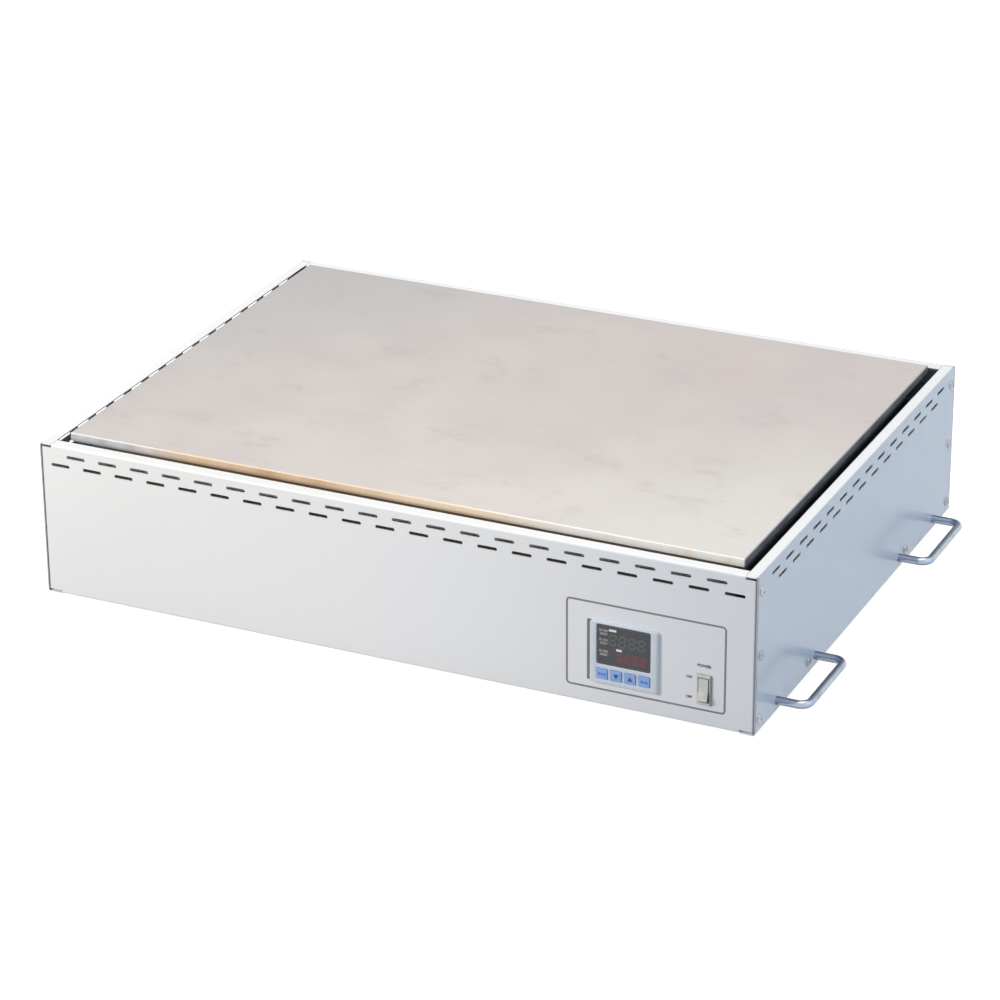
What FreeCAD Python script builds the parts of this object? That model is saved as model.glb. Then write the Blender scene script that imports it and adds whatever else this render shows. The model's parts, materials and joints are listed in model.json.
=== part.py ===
import FreeCAD, Part
import math
import os
import re
import Sketcher

# Laboratory hot plate, a bench-top heater with a flat metal plate in a folded steel casing.
# Millimetres. The origin is on the bench under the middle of the casing, +X to the right
# as seen from the control side, +Y to the back, +Z up.

# Driving dimensions
# Each row is a name, a value and what it measures.
SIZES = (
    ("casing_width", 740, "casing across the outer faces of the side panels"),
    ("casing_depth", 540, "casing from front face to rear face"),
    ("casing_height", 158, "casing from bottom flange to top flange"),
    ("sheet", 1.2, "thickness of every casing sheet"),
    ("bend_inside", 1.2, "inside radius of every fold in the casing"),
    ("side_top_flange", 12, "width of the side panels' top flange"),
    ("side_bottom_flange", 15, "width of the side panels' bottom flange"),
    ("end_top_flange", 13.5, "width of the front and rear panels' top flange"),
    ("end_bottom_flange", 15, "width of the front and rear panels' bottom flange"),
    ("lip_depth", 17, "height of the lip folded down behind the end panels' top flange"),
    ("return_width", 20, "width of the end panels' side returns"),
    ("notch_play", 0.5, "gap beside the notched corners of the end panels"),
    ("notch_drop", 2.3, "gap above and below the notched corners of the end panels"),
    ("base_flange", 24, "height of the bottom plate's folded sides"),
    ("slot_length", 20, "length of a vent slot"),
    ("slot_width", 3.4, "width of a vent slot"),
    ("slot_bevel", 1.1, "corner bevel that rounds a vent slot's ends"),
    ("slot_pitch", 34.8, "distance between vent slots in a row"),
    ("upper_row_drop", 10.5, "upper row of slots below the casing's top"),
    ("lower_row_drop", 20.8, "lower row of slots below the casing's top"),
    ("end_margin", 11, "least metal beside the slot rows of the end panels"),
    ("side_margin", 30, "least metal beside the slot rows of the side panels"),
    ("base_vent_length", 60, "length of a vent slot in the bottom plate"),
    ("base_vent_width", 5, "width of a vent slot in the bottom plate"),
    ("base_vent_pitch", 84, "distance between the bottom plate's vents in a row"),
    ("base_vent_margin", 90, "least metal beside the bottom plate's vents"),
    ("base_vent_spread", 150, "distance between the two rows of bottom vents"),
    ("screw_edge", 10, "casing screws in from the front and rear faces"),
    ("screw_low", 13, "lowest casing screws above the casing's bottom"),
    ("screw_middle", 77, "middle casing screws above the casing's bottom"),
    ("screw_high", 141, "highest casing screws above the casing's bottom"),
    ("screw_inner", 135, "bottom plate's screws in from the front and rear faces"),
    ("casing_screw_head", 4.5, "radius of a casing screw's head"),
    ("casing_screw_rise", 2.5, "height of a casing screw's head"),
    ("casing_screw_shank", 2, "radius of a casing screw's shank"),
    ("casing_screw_length", 6, "length of a casing screw's shank"),
    ("hole_play", 0.15, "radial play of a screw in a clearance hole"),
    ("seat_play", 0.3, "gap between pieces that move or are assembled loosely"),
    ("plate_margin", 21.5, "heating plate in from the casing's faces"),
    ("plate_thickness", 8, "thickness of the heating plate"),
    ("plate_rise", 5.5, "top of the heating plate above the casing's top"),
    ("plate_chamfer", 0.8, "chamfer round the heating plate's edges"),
    ("post_inset_side", 42, "support posts in from the plate's ends"),
    ("post_inset_end", 42, "support posts in from the plate's front and back"),
    ("post_radius", 8, "radius of a support post below its shoulder"),
    ("post_neck", 5, "radius of a support post above its shoulder"),
    ("post_stud", 3, "radius of the stud at the top of a support post"),
    ("post_stud_length", 6, "length of the stud in the heating plate"),
    ("element_radius", 4, "radius of a heating element's sheath"),
    ("element_edge", 37, "outermost heating element runs in from the tray's outside"),
    ("element_end", 52, "centre of an element's bend in from the tray's left end"),
    ("element_tail", 5, "element ends beyond the tray's wall"),
    ("element_pin", 1.5, "radius of an element's terminal pin"),
    ("element_pin_length", 6, "length of an element's terminal pin"),
    ("clamp_thickness", 3, "thickness of a clamp bar"),
    ("clamp_width", 25, "width of a clamp bar"),
    ("clamp_inset", 122, "outer clamp bars in from the tray's ends"),
    ("clamp_screw_head", 4.5, "radius of a clamp screw's head"),
    ("clamp_screw_rise", 3.5, "height of a clamp screw's head"),
    ("clamp_screw_shank", 2.5, "radius of a clamp screw's shank"),
    ("clamp_screw_grip", 6, "depth of a clamp screw in the heating plate"),
    ("insulation_thickness", 38, "thickness of the insulation board"),
    ("insulation_play", 0.5, "gap round and above the insulation board"),
    ("tray_inset", 15, "heat shield tray in from the heating plate's edges"),
    ("tray_sheet", 0.8, "thickness of the tray's sheet"),
    ("tray_rim_gap", 3.5, "tray's rim below the heating plate"),
    ("sensor_radius", 2.5, "radius of the temperature sensor's sheath"),
    ("sensor_length", 60, "length of the temperature sensor's sheath"),
    ("clip_thickness", 1, "thickness of the sensor's clip"),
    ("clip_width", 10, "width of the sensor's clip"),
    ("clip_tongue", 12, "length of the clip's tongue beside the sensor"),
    ("cutout_radius", 8, "radius of the overheat cut-out"),
    ("cutout_body", 10, "height of the overheat cut-out below its flange"),
    ("cutout_flange", 1.5, "thickness of the cut-out's flange"),
    ("cutout_ear", 12, "cut-out's screws from its centre"),
    ("cutout_x", 60, "overheat cut-out right of the middle"),
    ("small_head", 3, "radius of a small screw's head"),
    ("small_rise", 2, "height of a small screw's head"),
    ("small_shank", 1.5, "radius of a small screw's shank"),
    ("handle_bar", 4, "radius of a handle's bar"),
    ("handle_pitch", 100, "distance between a handle's legs"),
    ("handle_reach", 30, "middle of a handle's grip out from the side panel"),
    ("handle_bend", 10, "bend radius of a handle's corners"),
    ("handle_inset", 103, "middle of a handle in from the front or rear face"),
    ("handle_height", 12, "handles above the casing's bottom"),
    ("handle_bore", 2.5, "radius of the threaded bore in a handle's leg"),
    ("handle_bore_depth", 12, "depth of the threaded bore in a handle's leg"),
    ("handle_screw_head", 4.2, "radius of a handle screw's head"),
    ("handle_screw_rise", 3, "height of a handle screw's head"),
    ("handle_screw_grip", 8, "depth of a handle screw in its leg"),
    ("foot_height", 12, "bench to the casing's bottom"),
    ("foot_top", 15, "radius of a foot at its top"),
    ("foot_bottom", 13, "radius of a foot on the bench"),
    ("foot_inset", 50, "feet in from the casing's faces"),
    ("foot_recess", 6, "radius of the screw recess under a foot"),
    ("foot_recess_depth", 7, "depth of the screw recess under a foot"),
    ("foot_screw_head", 4.5, "radius of a foot screw's head"),
    ("foot_screw_rise", 3, "height of a foot screw's head"),
    ("foot_screw_shank", 2.5, "radius of a foot screw's shank"),
    ("foot_nut_radius", 4.6, "radius of a foot nut across its corners"),
    ("foot_nut_height", 4, "height of a foot nut"),
    ("thread_end", 1, "length of screw that shows past its nut"),
    ("control_inset", 128.2, "controller in from the casing's right face"),
    ("control_z", 55, "middle of the controller above the casing's bottom"),
    ("bezel_width", 66.5, "width of the controller's bezel"),
    ("bezel_height", 62, "height of the controller's bezel"),
    ("bezel_rise", 3.2, "bezel proud of the front panel"),
    ("bezel_round", 1.6, "corner and rim radius of the bezel"),
    ("case_width", 60, "width of the controller's case behind the panel"),
    ("case_height", 59.5, "height of the controller's case behind the panel"),
    ("case_depth", 72, "depth of the controller's case behind the panel"),
    ("case_wall", 2, "wall of the controller's case"),
    ("window_width", 53.5, "visible width of the display window"),
    ("window_height", 40.5, "visible height of the display window"),
    ("window_up", 8.75, "middle of the window above the middle of the bezel"),
    ("window_ledge", 1, "bezel's ledge in front of the window's rim"),
    ("window_sink", 0.7, "window's face behind the bezel's face"),
    ("window_thickness", 1.6, "thickness of the display window"),
    ("display_width", 48, "width of the display block behind the window"),
    ("display_height", 36, "height of the display block behind the window"),
    ("board_depth", 8, "circuit board behind the panel's face"),
    ("board_thickness", 1.6, "thickness of the circuit board"),
    ("board_play", 1, "gap between the circuit board and the case"),
    ("key_width", 11, "width of a key"),
    ("key_height", 10.3, "height of a key"),
    ("key_pitch", 13.9, "distance between keys"),
    ("key_drop", 21.1, "keys below the middle of the bezel"),
    ("key_rise", 0.6, "keys proud of the bezel"),
    ("key_flange", 0.6, "rim that keeps a key behind the bezel"),
    ("key_flange_thickness", 1, "thickness of a key's rim"),
    ("key_stem", 2.5, "radius of a key's stem"),
    ("key_stem_length", 3, "length of a key's stem behind its rim"),
    ("key_travel", 0.8, "travel of a key"),
    ("key_round", 0.5, "corner radius of a key's face"),
    ("frame_band", 8, "depth of the controller's mounting frame"),
    ("frame_wall", 4, "wall of the controller's mounting frame"),
    ("terminal_row_height", 14, "height of the controller's terminal row"),
    ("terminal_row_depth", 8, "depth of the controller's terminal row"),
    ("terminal_pitch", 8, "distance between terminals"),
    ("terminal_well", 2.6, "radius of a terminal's well"),
    ("switch_inset", 50, "power switch in from the casing's right face"),
    ("switch_z", 37.1, "middle of the power switch above the casing's bottom"),
    ("switch_width", 14.5, "width of the switch's frame"),
    ("switch_height", 30, "height of the switch's frame"),
    ("switch_rise", 2, "switch's frame proud of the front panel"),
    ("switch_body_width", 12.4, "width of the switch's body behind the panel"),
    ("switch_body_height", 27, "height of the switch's body behind the panel"),
    ("switch_depth", 18, "depth of the switch's body behind the panel"),
    ("switch_back", 4, "thickness of the switch's back"),
    ("rocker_width", 9.6, "width of the rocker"),
    ("rocker_play", 0.7, "gap between the rocker and each side of its well"),
    ("rocker_swing", 12, "radius of the rocker's ends about its pivot"),
    ("rocker_pivot_depth", 1.5, "rocker's pivot behind the panel's face"),
    ("rocker_front", 3.9, "pressed half of the rocker in front of its pivot"),
    ("rocker_back", 4, "back of the rocker behind its pivot"),
    ("rocker_angle", 20, "rocker's turn from one side to the other"),
    ("rocker_pin", 1.5, "radius of the rocker's pivot pins"),
    ("rocker_pin_length", 1, "length of a pivot pin beside the rocker"),
    ("pin_play", 0.05, "radial play of the pivot pins"),
    ("blade_width", 4.8, "width of a switch terminal"),
    ("blade_thickness", 0.8, "thickness of a switch terminal"),
    ("blade_length", 9, "length of a switch terminal"),
    ("blade_pitch", 8, "distance between switch terminals"),
    ("sink_side", 250, "heat sink in from the casing's right face"),
    ("sink_end", 210, "heat sink in from the casing's front face"),
    ("sink_length", 90, "length of the heat sink"),
    ("sink_width", 62, "width of the heat sink"),
    ("sink_height", 25, "height of the heat sink"),
    ("sink_web", 5, "thickness of the heat sink's web"),
    ("sink_fin", 2, "thickness of a heat sink's fin"),
    ("sink_fins", 6, "number of fins"),
    ("relay_length", 58, "length of the relay"),
    ("relay_width", 45, "width of the relay"),
    ("relay_height", 23, "height of the relay"),
    ("relay_screw_spread", 47.6, "distance between the relay's two screws"),
    ("relay_step", 14, "length of the relay's lower end shelves"),
    ("relay_shelf", 8, "height of the relay's end shelves"),
    ("block_side", 140, "terminal block in from the casing's right face"),
    ("block_end", 100, "terminal block in from the casing's rear face"),
    ("block_length", 72, "length of the terminal block"),
    ("block_width", 24, "width of the terminal block"),
    ("block_height", 18, "height of the terminal block"),
    ("block_groove", 9, "width of a wire groove in the terminal block"),
    ("block_grooves", 4, "number of ways in the terminal block"),
    ("block_ear", 5, "terminal block's screws in from its ends"),
    ("earth_side", 110, "earth screw in from the casing's right face"),
    ("earth_end", 55, "earth screw in from the casing's rear face"),
    ("earth_length", 14, "length of the earth screw above the bottom plate"),
    ("gland_inset", 90, "cable gland in from the casing's right face"),
    ("gland_z", 34, "cable gland above the casing's bottom"),
    ("gland_thread", 8, "radius of the gland's thread"),
    ("gland_bore", 4.5, "radius of the gland's bore"),
    ("gland_collar", 11, "radius of the gland's collar across its corners"),
    ("gland_collar_length", 4, "length of the gland's collar"),
    ("gland_inside", 9, "length of the gland's thread behind the rear panel"),
    ("gland_outside", 6, "length of the gland's thread outside its collar"),
    ("gland_cap_length", 9, "length of the gland's cap"),
    ("gland_cap_mouth", 5.2, "radius of the cap's mouth"),
    ("gland_nut_length", 5, "length of the gland's lock nut"),
)

# Sizes that follow from others
# Each row is a name, how it follows and what it measures.
FOLLOWING = (
    ("plate_length", "casing_width - 2 * plate_margin", "heating plate from left to right"),
    ("plate_depth", "casing_depth - 2 * plate_margin", "heating plate from front to back"),
    ("tray_length", "plate_length - 2 * tray_inset", "heat shield tray from left to right"),
    ("tray_depth", "plate_depth - 2 * tray_inset", "heat shield tray from front to back"),
    ("element_spacing", "(tray_depth - 2 * element_edge) / 5", "distance between the elements' six runs"),
    ("element_reach", "tray_length / 2 - element_end", "casing's middle to the centre of a bend"),
    ("clamp_spread", "tray_length / 2 - clamp_inset", "distance between clamp bars"),
    ("handle_offset", "casing_depth / 2 - handle_inset", "casing's middle to a handle's middle"),
    ("control_x", "casing_width / 2 - control_inset", "controller right of the middle"),
    ("switch_x", "casing_width / 2 - switch_inset", "power switch right of the middle"),
    ("sink_x", "casing_width / 2 - sink_side", "heat sink right of the middle"),
    ("sink_y", "casing_depth / 2 - sink_end", "heat sink in front of the middle"),
    ("block_x", "casing_width / 2 - block_side", "terminal block right of the middle"),
    ("block_y", "casing_depth / 2 - block_end", "terminal block behind the middle"),
    ("earth_x", "casing_width / 2 - earth_side", "earth screw right of the middle"),
    ("earth_y", "casing_depth / 2 - earth_end", "earth screw behind the middle"),
    ("gland_x", "casing_width / 2 - gland_inset", "cable gland right of the middle"),
)

NAMES = {name for name, value, note in SIZES + FOLLOWING}
HEXAGON_SIDES = 6

# Heights and places that several pieces share
CASING_TOP = "(foot_height + casing_height)"
BASE_UNDER = "(foot_height + sheet)"
BASE_TOP = "(foot_height + 2 * sheet)"
PLATE_TOP = f"({CASING_TOP} + plate_rise)"
PLATE_UNDER = f"({PLATE_TOP} - plate_thickness)"
CLAMP_UNDER = f"({PLATE_UNDER} - 2 * element_radius - clamp_thickness)"
TRAY_FLOOR = f"({CLAMP_UNDER} - clamp_screw_rise - insulation_play - insulation_thickness)"
TRAY_UNDER = f"({TRAY_FLOOR} - tray_sheet)"
END_SLOTS = "(floor((casing_width - 2 * end_margin - slot_length) / slot_pitch) + 1)"
SIDE_SLOTS = "(floor((casing_depth - 2 * side_margin - slot_length) / slot_pitch) + 1)"
BASE_VENTS = "(floor((casing_width - 2 * base_vent_margin - base_vent_length) / base_vent_pitch) + 1)"
POST_X = "(plate_length / 2 - post_inset_side)"
POST_Y = "(plate_depth / 2 - post_inset_end)"
FOOT_X = "(casing_width / 2 - foot_inset)"
FOOT_Y = "(casing_depth / 2 - foot_inset)"
SCREW_Y = "(casing_depth / 2 - screw_edge)"
INNER_SCREW_Y = "(casing_depth / 2 - screw_inner)"
PANEL_FRONT = "(-casing_depth / 2)"
PANEL_REAR = "(casing_depth / 2)"
CONTROL_Z = "(foot_height + control_z)"
SWITCH_Z = "(foot_height + switch_z)"
GLAND_Z = "(foot_height + gland_z)"
SINK_Y = "(-sink_y)"
FIN_STEP = "((sink_width - sink_fin) / (sink_fins - 1))"
SENSOR_Y = "element_spacing"
CLAMP_LENGTH = "(6 * element_spacing - 2 * element_radius)"

# Turns from a piece's own +Z to where it points
X_AXIS = FreeCAD.Vector(1, 0, 0)
Y_AXIS = FreeCAD.Vector(0, 1, 0)
Z_AXIS = FreeCAD.Vector(0, 0, 1)
UPRIGHT = FreeCAD.Rotation()
TO_RIGHT = FreeCAD.Rotation(Y_AXIS, 90)
TO_LEFT = FreeCAD.Rotation(Y_AXIS, -90)
TO_FRONT = FreeCAD.Rotation(X_AXIS, 90)
TO_BACK = FreeCAD.Rotation(X_AXIS, -90)
TO_FLOOR = FreeCAD.Rotation(X_AXIS, 180)
HALF_TURN = FreeCAD.Rotation(Z_AXIS, 180)

DOC = FreeCAD.newDocument("HotPlate")
SHEET = DOC.addObject("Spreadsheet::Sheet", "Sizes")
PIECES = []
CUTS = []


def fill_sheet():
    """Writes one row for each size: what it is, and its named value or how it follows."""
    rows = SIZES + tuple((name, "=" + formula, note) for name, formula, note in FOLLOWING)
    for row, (name, value, note) in enumerate(rows, start=1):
        SHEET.set(f"A{row}", note)
        SHEET.set(f"B{row}", str(value))
        SHEET.setAlias(f"B{row}", name)
    DOC.recompute()


def bind(text):
    """A size expression with each size's name turned into its cell."""
    return re.sub(r"[a-z][a-z_]*", lambda m: "Sizes." + m[0] if m[0] in NAMES else m[0], str(text))


def number(text):
    """The present value of a size expression."""
    return float(SHEET.evalExpression(bind(text)))


def place(thing, x, y, z, turn):
    """Puts a piece at a place that follows the sizes."""
    thing.Placement = FreeCAD.Placement(FreeCAD.Vector(0, 0, 0), turn)
    for axis, size in zip("xyz", (x, y, z)):
        thing.setExpression(f"Placement.Base.{axis}", bind(size))


def new_body(label, x="0", y="0", z="0", turn=UPRIGHT):
    """An empty body in its own frame."""
    body = DOC.addObject("PartDesign::Body", label)
    body.Label = label
    place(body, x, y, z, turn)
    return body


def kept(piece):
    """Marks a piece as one to be written to its own file."""
    PIECES.append(piece)
    return piece


def new_sketch(body, role, lift="0"):
    """An empty sketch on one of the body's own origin planes, lifted along its normal."""
    sketch = body.newObject("Sketcher::SketchObject", body.Label + "_sketch")
    plane = [feature for feature in body.Origin.OriginFeatures if feature.Role == role][0]
    sketch.AttachmentSupport = (plane, [""])
    sketch.MapMode = "FlatFace"
    sketch.setExpression("AttachmentOffset.Base.z", bind(lift))
    return sketch


def hold(sketch, kind, *where, size):
    """A dimension in a sketch that follows a size expression."""
    index = sketch.addConstraint(Sketcher.Constraint(kind, *where, number(size)))
    sketch.setExpression(f"Constraints[{index}]", bind(size))


def hold_point(sketch, line, end, x, y):
    """Fixes one end or centre of a piece of geometry from the sketch's origin."""
    hold(sketch, "DistanceX", -1, 1, line, end, size=x)
    hold(sketch, "DistanceY", -1, 1, line, end, size=y)


def outline(sketch, points):
    """A closed outline of straight lines through points that follow the sizes."""
    start = sketch.GeometryCount
    count = len(points)
    spots = [FreeCAD.Vector(number(x), number(y), 0) for x, y in points]
    for k in range(count):
        sketch.addGeometry(Part.LineSegment(spots[k], spots[(k + 1) % count]))
    for k in range(count):
        after = start + (k + 1) % count
        sketch.addConstraint(Sketcher.Constraint("Coincident", start + k, 2, after, 1))
        hold_point(sketch, start + k, 1, *points[k])


def rectangle(sketch, left, low, right, high):
    """A rectangle from its low left corner to its high right corner."""
    outline(sketch, ((left, low), (right, low), (right, high), (left, high)))


def block_outline(sketch, x, y, width, height):
    """A rectangle about its middle."""
    rectangle(
        sketch,
        f"{x} - {width} / 2",
        f"{y} - {height} / 2",
        f"{x} + {width} / 2",
        f"{y} + {height} / 2",
    )


def slot_outline(sketch, x, y, length, width, bevel):
    """A slot along the sketch's x axis with bevelled ends."""
    end = f"{length} / 2"
    edge = f"{width} / 2"
    outline(
        sketch,
        (
            (f"{x} - {end} + {bevel}", f"{y} - {edge}"),
            (f"{x} + {end} - {bevel}", f"{y} - {edge}"),
            (f"{x} + {end}", f"{y} - {edge} + {bevel}"),
            (f"{x} + {end}", f"{y} + {edge} - {bevel}"),
            (f"{x} + {end} - {bevel}", f"{y} + {edge}"),
            (f"{x} - {end} + {bevel}", f"{y} + {edge}"),
            (f"{x} - {end}", f"{y} + {edge} - {bevel}"),
            (f"{x} - {end}", f"{y} - {edge} + {bevel}"),
        ),
    )


def disc(sketch, x, y, radius):
    """A circle about a point that follows the sizes."""
    centre = FreeCAD.Vector(number(x), number(y), 0)
    index = sketch.addGeometry(Part.Circle(centre, Z_AXIS, number(radius)))
    hold_point(sketch, index, 3, x, y)
    hold(sketch, "Radius", index, size=radius)


def hexagon(sketch, radius):
    """A regular hexagon about the sketch's origin."""
    corners = []
    for k in range(HEXAGON_SIDES):
        angle = 360 * k / HEXAGON_SIDES
        corners.append((f"{radius} * cos({angle}deg)", f"{radius} * sin({angle}deg)"))
    outline(sketch, corners)


def add(body, kind, profile):
    """The next feature of a body, made from a sketch."""
    feature = body.newObject("PartDesign::" + kind, f"{body.Label}_{kind}")
    feature.Profile = profile
    body.Tip = feature
    return feature


def pad(body, sketch, length, side="One side", back=False):
    """Thickens a sketch along its normal, or against it if back is set."""
    feature = add(body, "Pad", sketch)
    feature.SideType = side
    feature.Reversed = back
    feature.setExpression("Length", bind(length))
    return feature


def cut(body, sketch, length=None, back=False):
    """Cuts a sketch against its normal to a depth, or right through both ways."""
    before = body.Tip
    feature = add(body, "Pocket", sketch)
    feature.Reversed = back
    if length is None:
        feature.Type = "ThroughAll"
        feature.SideType = "Symmetric"
    else:
        feature.setExpression("Length", bind(length))
    CUTS.append((before, feature))
    return feature


def repeat(body, feature, sketch, axis, pitch, count):
    """Repeats a feature along one axis of its sketch."""
    row = body.newObject("PartDesign::LinearPattern", body.Label + "_row")
    row.Originals = [feature]
    row.Direction = (sketch, [axis])
    row.Mode = "Spacing"
    row.setExpression("Offset", bind(pitch))
    row.setExpression("Occurrences", bind(count))
    body.Tip = row
    return row


def soften(body, kind, amount, spots):
    """Fillets or chamfers the edges of the body's present shape that pass through the spots."""
    DOC.recompute()
    base = body.Tip
    names = []
    for spot in spots:
        point = Part.Vertex(*[number(size) for size in spot])
        gaps = [edge.distToShape(point)[0] for edge in base.Shape.Edges]
        nearest = gaps.index(min(gaps))
        if gaps[nearest] > 0.01:
            raise RuntimeError(f"{body.Label} has no edge at {spot}")
        names.append(f"Edge{nearest + 1}")
    feature = body.newObject("PartDesign::" + kind, f"{body.Label}_{kind}")
    feature.Base = (base, names)
    feature.setExpression("Radius" if kind == "Fillet" else "Size", bind(amount))
    body.Tip = feature
    return feature


def turned(label, points, x="0", y="0", z="0", turn=UPRIGHT):
    """A turned piece: its points are radius and height, and it turns about its own Z."""
    body = new_body(label, x, y, z, turn)
    sketch = new_sketch(body, "XZ_Plane")
    outline(sketch, points)
    feature = add(body, "Revolution", sketch)
    feature.ReferenceAxis = (sketch, ["V_Axis"])
    feature.Angle = 360
    return body


def screw(label, head, rise, shank, length):
    """One screw with a rounded head, its head's seat at its own origin, pointing down."""
    return turned(
        label,
        (
            ("0", f"-{length}"),
            (shank, f"-{length}"),
            (shank, "0"),
            (head, "0"),
            (f"0.8 * {head}", f"0.6 * {rise}"),
            (f"0.4 * {head}", rise),
            ("0", rise),
        ),
    )


def bolt(label, head, rise, shank, length):
    """One hexagon-headed bolt, its head's seat at its own origin, pointing down."""
    body = new_body(label)
    top = new_sketch(body, "XY_Plane")
    hexagon(top, head)
    pad(body, top, rise)
    stem = new_sketch(body, "XY_Plane")
    disc(stem, "0", "0", shank)
    pad(body, stem, length, back=True)
    return body


def copies(label, master, places):
    """One node that holds a copy of the master at each place: x, y, z and a turn."""
    links = []
    for x, y, z, turn in places:
        link = DOC.addObject("App::Link", label + "_copy")
        link.LinkedObject = master
        place(link, x, y, z, turn)
        links.append(link)
    group = DOC.addObject("Part::Compound", label)
    group.Label = label
    group.Links = links
    return kept(group)


# Casing panels


def vent_row(body, role, drop, count):
    """One row of vent slots across a panel's face, centred."""
    sketch = new_sketch(body, role)
    first = f"(-({count} - 1) * slot_pitch / 2)"
    slot_outline(sketch, first, f"casing_height - {drop}", "slot_length", "slot_width", "slot_bevel")
    slot = cut(body, sketch, "2 * sheet")
    repeat(body, slot, sketch, "H_Axis", "slot_pitch", count)


def end_panel(label, y, turn):
    """Front or rear panel: a notched channel with side returns, seen from its outside."""
    body = new_body(label, "0", y, "foot_height", turn)
    web_half = "(casing_width / 2 - sheet)"
    low = "(sheet + notch_drop)"
    high = "(casing_height - sheet - notch_drop)"
    web = new_sketch(body, "XZ_Plane")
    rectangle(web, f"-{web_half}", low, web_half, high)
    pad(body, web, "sheet", back=True)

    top = new_sketch(body, "YZ_Plane")
    outline(
        top,
        (
            ("0", "casing_height - lip_depth"),
            ("0", "casing_height"),
            ("end_top_flange", "casing_height"),
            ("end_top_flange", "casing_height - lip_depth"),
            ("end_top_flange - sheet", "casing_height - lip_depth"),
            ("end_top_flange - sheet", "casing_height - sheet"),
            ("sheet", "casing_height - sheet"),
            ("sheet", "casing_height - lip_depth"),
        ),
    )
    pad(body, top, "casing_width - 2 * (side_top_flange + notch_play)", side="Symmetric")

    bottom = new_sketch(body, "YZ_Plane")
    outline(
        bottom,
        (
            ("0", "0"),
            ("end_bottom_flange", "0"),
            ("end_bottom_flange", "sheet"),
            ("sheet", "sheet"),
            ("sheet", "end_bottom_flange"),
            ("0", "end_bottom_flange"),
        ),
    )
    pad(body, bottom, "casing_width - 2 * (side_bottom_flange + notch_play)", side="Symmetric")

    returns = new_sketch(body, "XY_Plane", low)
    rectangle(returns, f"{web_half} - sheet", "0", web_half, "return_width")
    rectangle(returns, f"-{web_half}", "0", f"-{web_half} + sheet", "return_width")
    pad(body, returns, f"{high} - {low}")

    middle = "casing_height / 2"
    soften(
        body,
        "Fillet",
        "bend_inside + sheet",
        (
            (web_half, "0", middle),
            (f"-{web_half}", "0", middle),
            ("0", "0", "casing_height"),
            ("0", "end_top_flange", "casing_height"),
            ("0", "0", "0"),
        ),
    )
    soften(
        body,
        "Fillet",
        "bend_inside",
        (
            (f"{web_half} - sheet", "sheet", middle),
            (f"-{web_half} + sheet", "sheet", middle),
            ("0", "sheet", "casing_height - sheet"),
            ("0", "end_top_flange - sheet", "casing_height - sheet"),
            ("0", "sheet", "sheet"),
        ),
    )
    screws = new_sketch(body, "YZ_Plane")
    for z in ("screw_low", "screw_middle", "screw_high"):
        disc(screws, "screw_edge", z, "casing_screw_shank + hole_play")
    cut(body, screws)
    vent_row(body, "XZ_Plane", "upper_row_drop", f"({END_SLOTS} - 1)")
    vent_row(body, "XZ_Plane", "lower_row_drop", END_SLOTS)
    return kept(body)


def front_panel():
    """The front panel, with the controller's and the switch's openings."""
    body = end_panel("front_panel", PANEL_FRONT, UPRIGHT)
    openings = new_sketch(body, "XZ_Plane")
    block_outline(
        openings, "control_x", "control_z", "(case_width + 2 * seat_play)", "(case_height + 2 * seat_play)"
    )
    block_outline(
        openings,
        "switch_x",
        "switch_z",
        "(switch_body_width + 2 * seat_play)",
        "(switch_body_height + 2 * seat_play)",
    )
    cut(body, openings, "2 * sheet")


def rear_panel():
    """The rear panel, with the cable gland's hole."""
    body = end_panel("rear_panel", PANEL_REAR, HALF_TURN)
    hole = new_sketch(body, "XZ_Plane")
    disc(hole, "-gland_x", "gland_z", "gland_thread + hole_play")
    cut(body, hole, "2 * sheet")


def side_panel(label, x, turn):
    """A side panel: a channel open to the inside, outward along its own +X."""
    body = new_body(label, x, "0", "foot_height", turn)
    section = new_sketch(body, "XZ_Plane")
    outline(
        section,
        (
            ("0", "0"),
            ("0", "casing_height"),
            ("-side_top_flange", "casing_height"),
            ("-side_top_flange", "casing_height - sheet"),
            ("-sheet", "casing_height - sheet"),
            ("-sheet", "sheet"),
            ("-side_bottom_flange", "sheet"),
            ("-side_bottom_flange", "0"),
        ),
    )
    pad(body, section, "casing_depth", side="Symmetric")
    soften(body, "Fillet", "bend_inside + sheet", (("0", "0", "0"), ("0", "0", "casing_height")))
    soften(
        body,
        "Fillet",
        "bend_inside",
        (("-sheet", "0", "sheet"), ("-sheet", "0", "casing_height - sheet")),
    )
    holes = new_sketch(body, "YZ_Plane")
    for side in ("", "-"):
        for z in ("screw_low", "screw_middle", "screw_high"):
            disc(holes, f"{side}{SCREW_Y}", z, "casing_screw_shank + hole_play")
        disc(holes, f"{side}{INNER_SCREW_Y}", "screw_low", "casing_screw_shank + hole_play")
        for leg in ("+", "-"):
            spot = f"{side}handle_offset {leg} handle_pitch / 2"
            disc(holes, spot, "handle_height", "handle_bore + hole_play")
    cut(body, holes, "2 * sheet")
    vent_row(body, "YZ_Plane", "upper_row_drop", SIDE_SLOTS)
    vent_row(body, "YZ_Plane", "lower_row_drop", f"({SIDE_SLOTS} - 1)")
    return kept(body)


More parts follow.
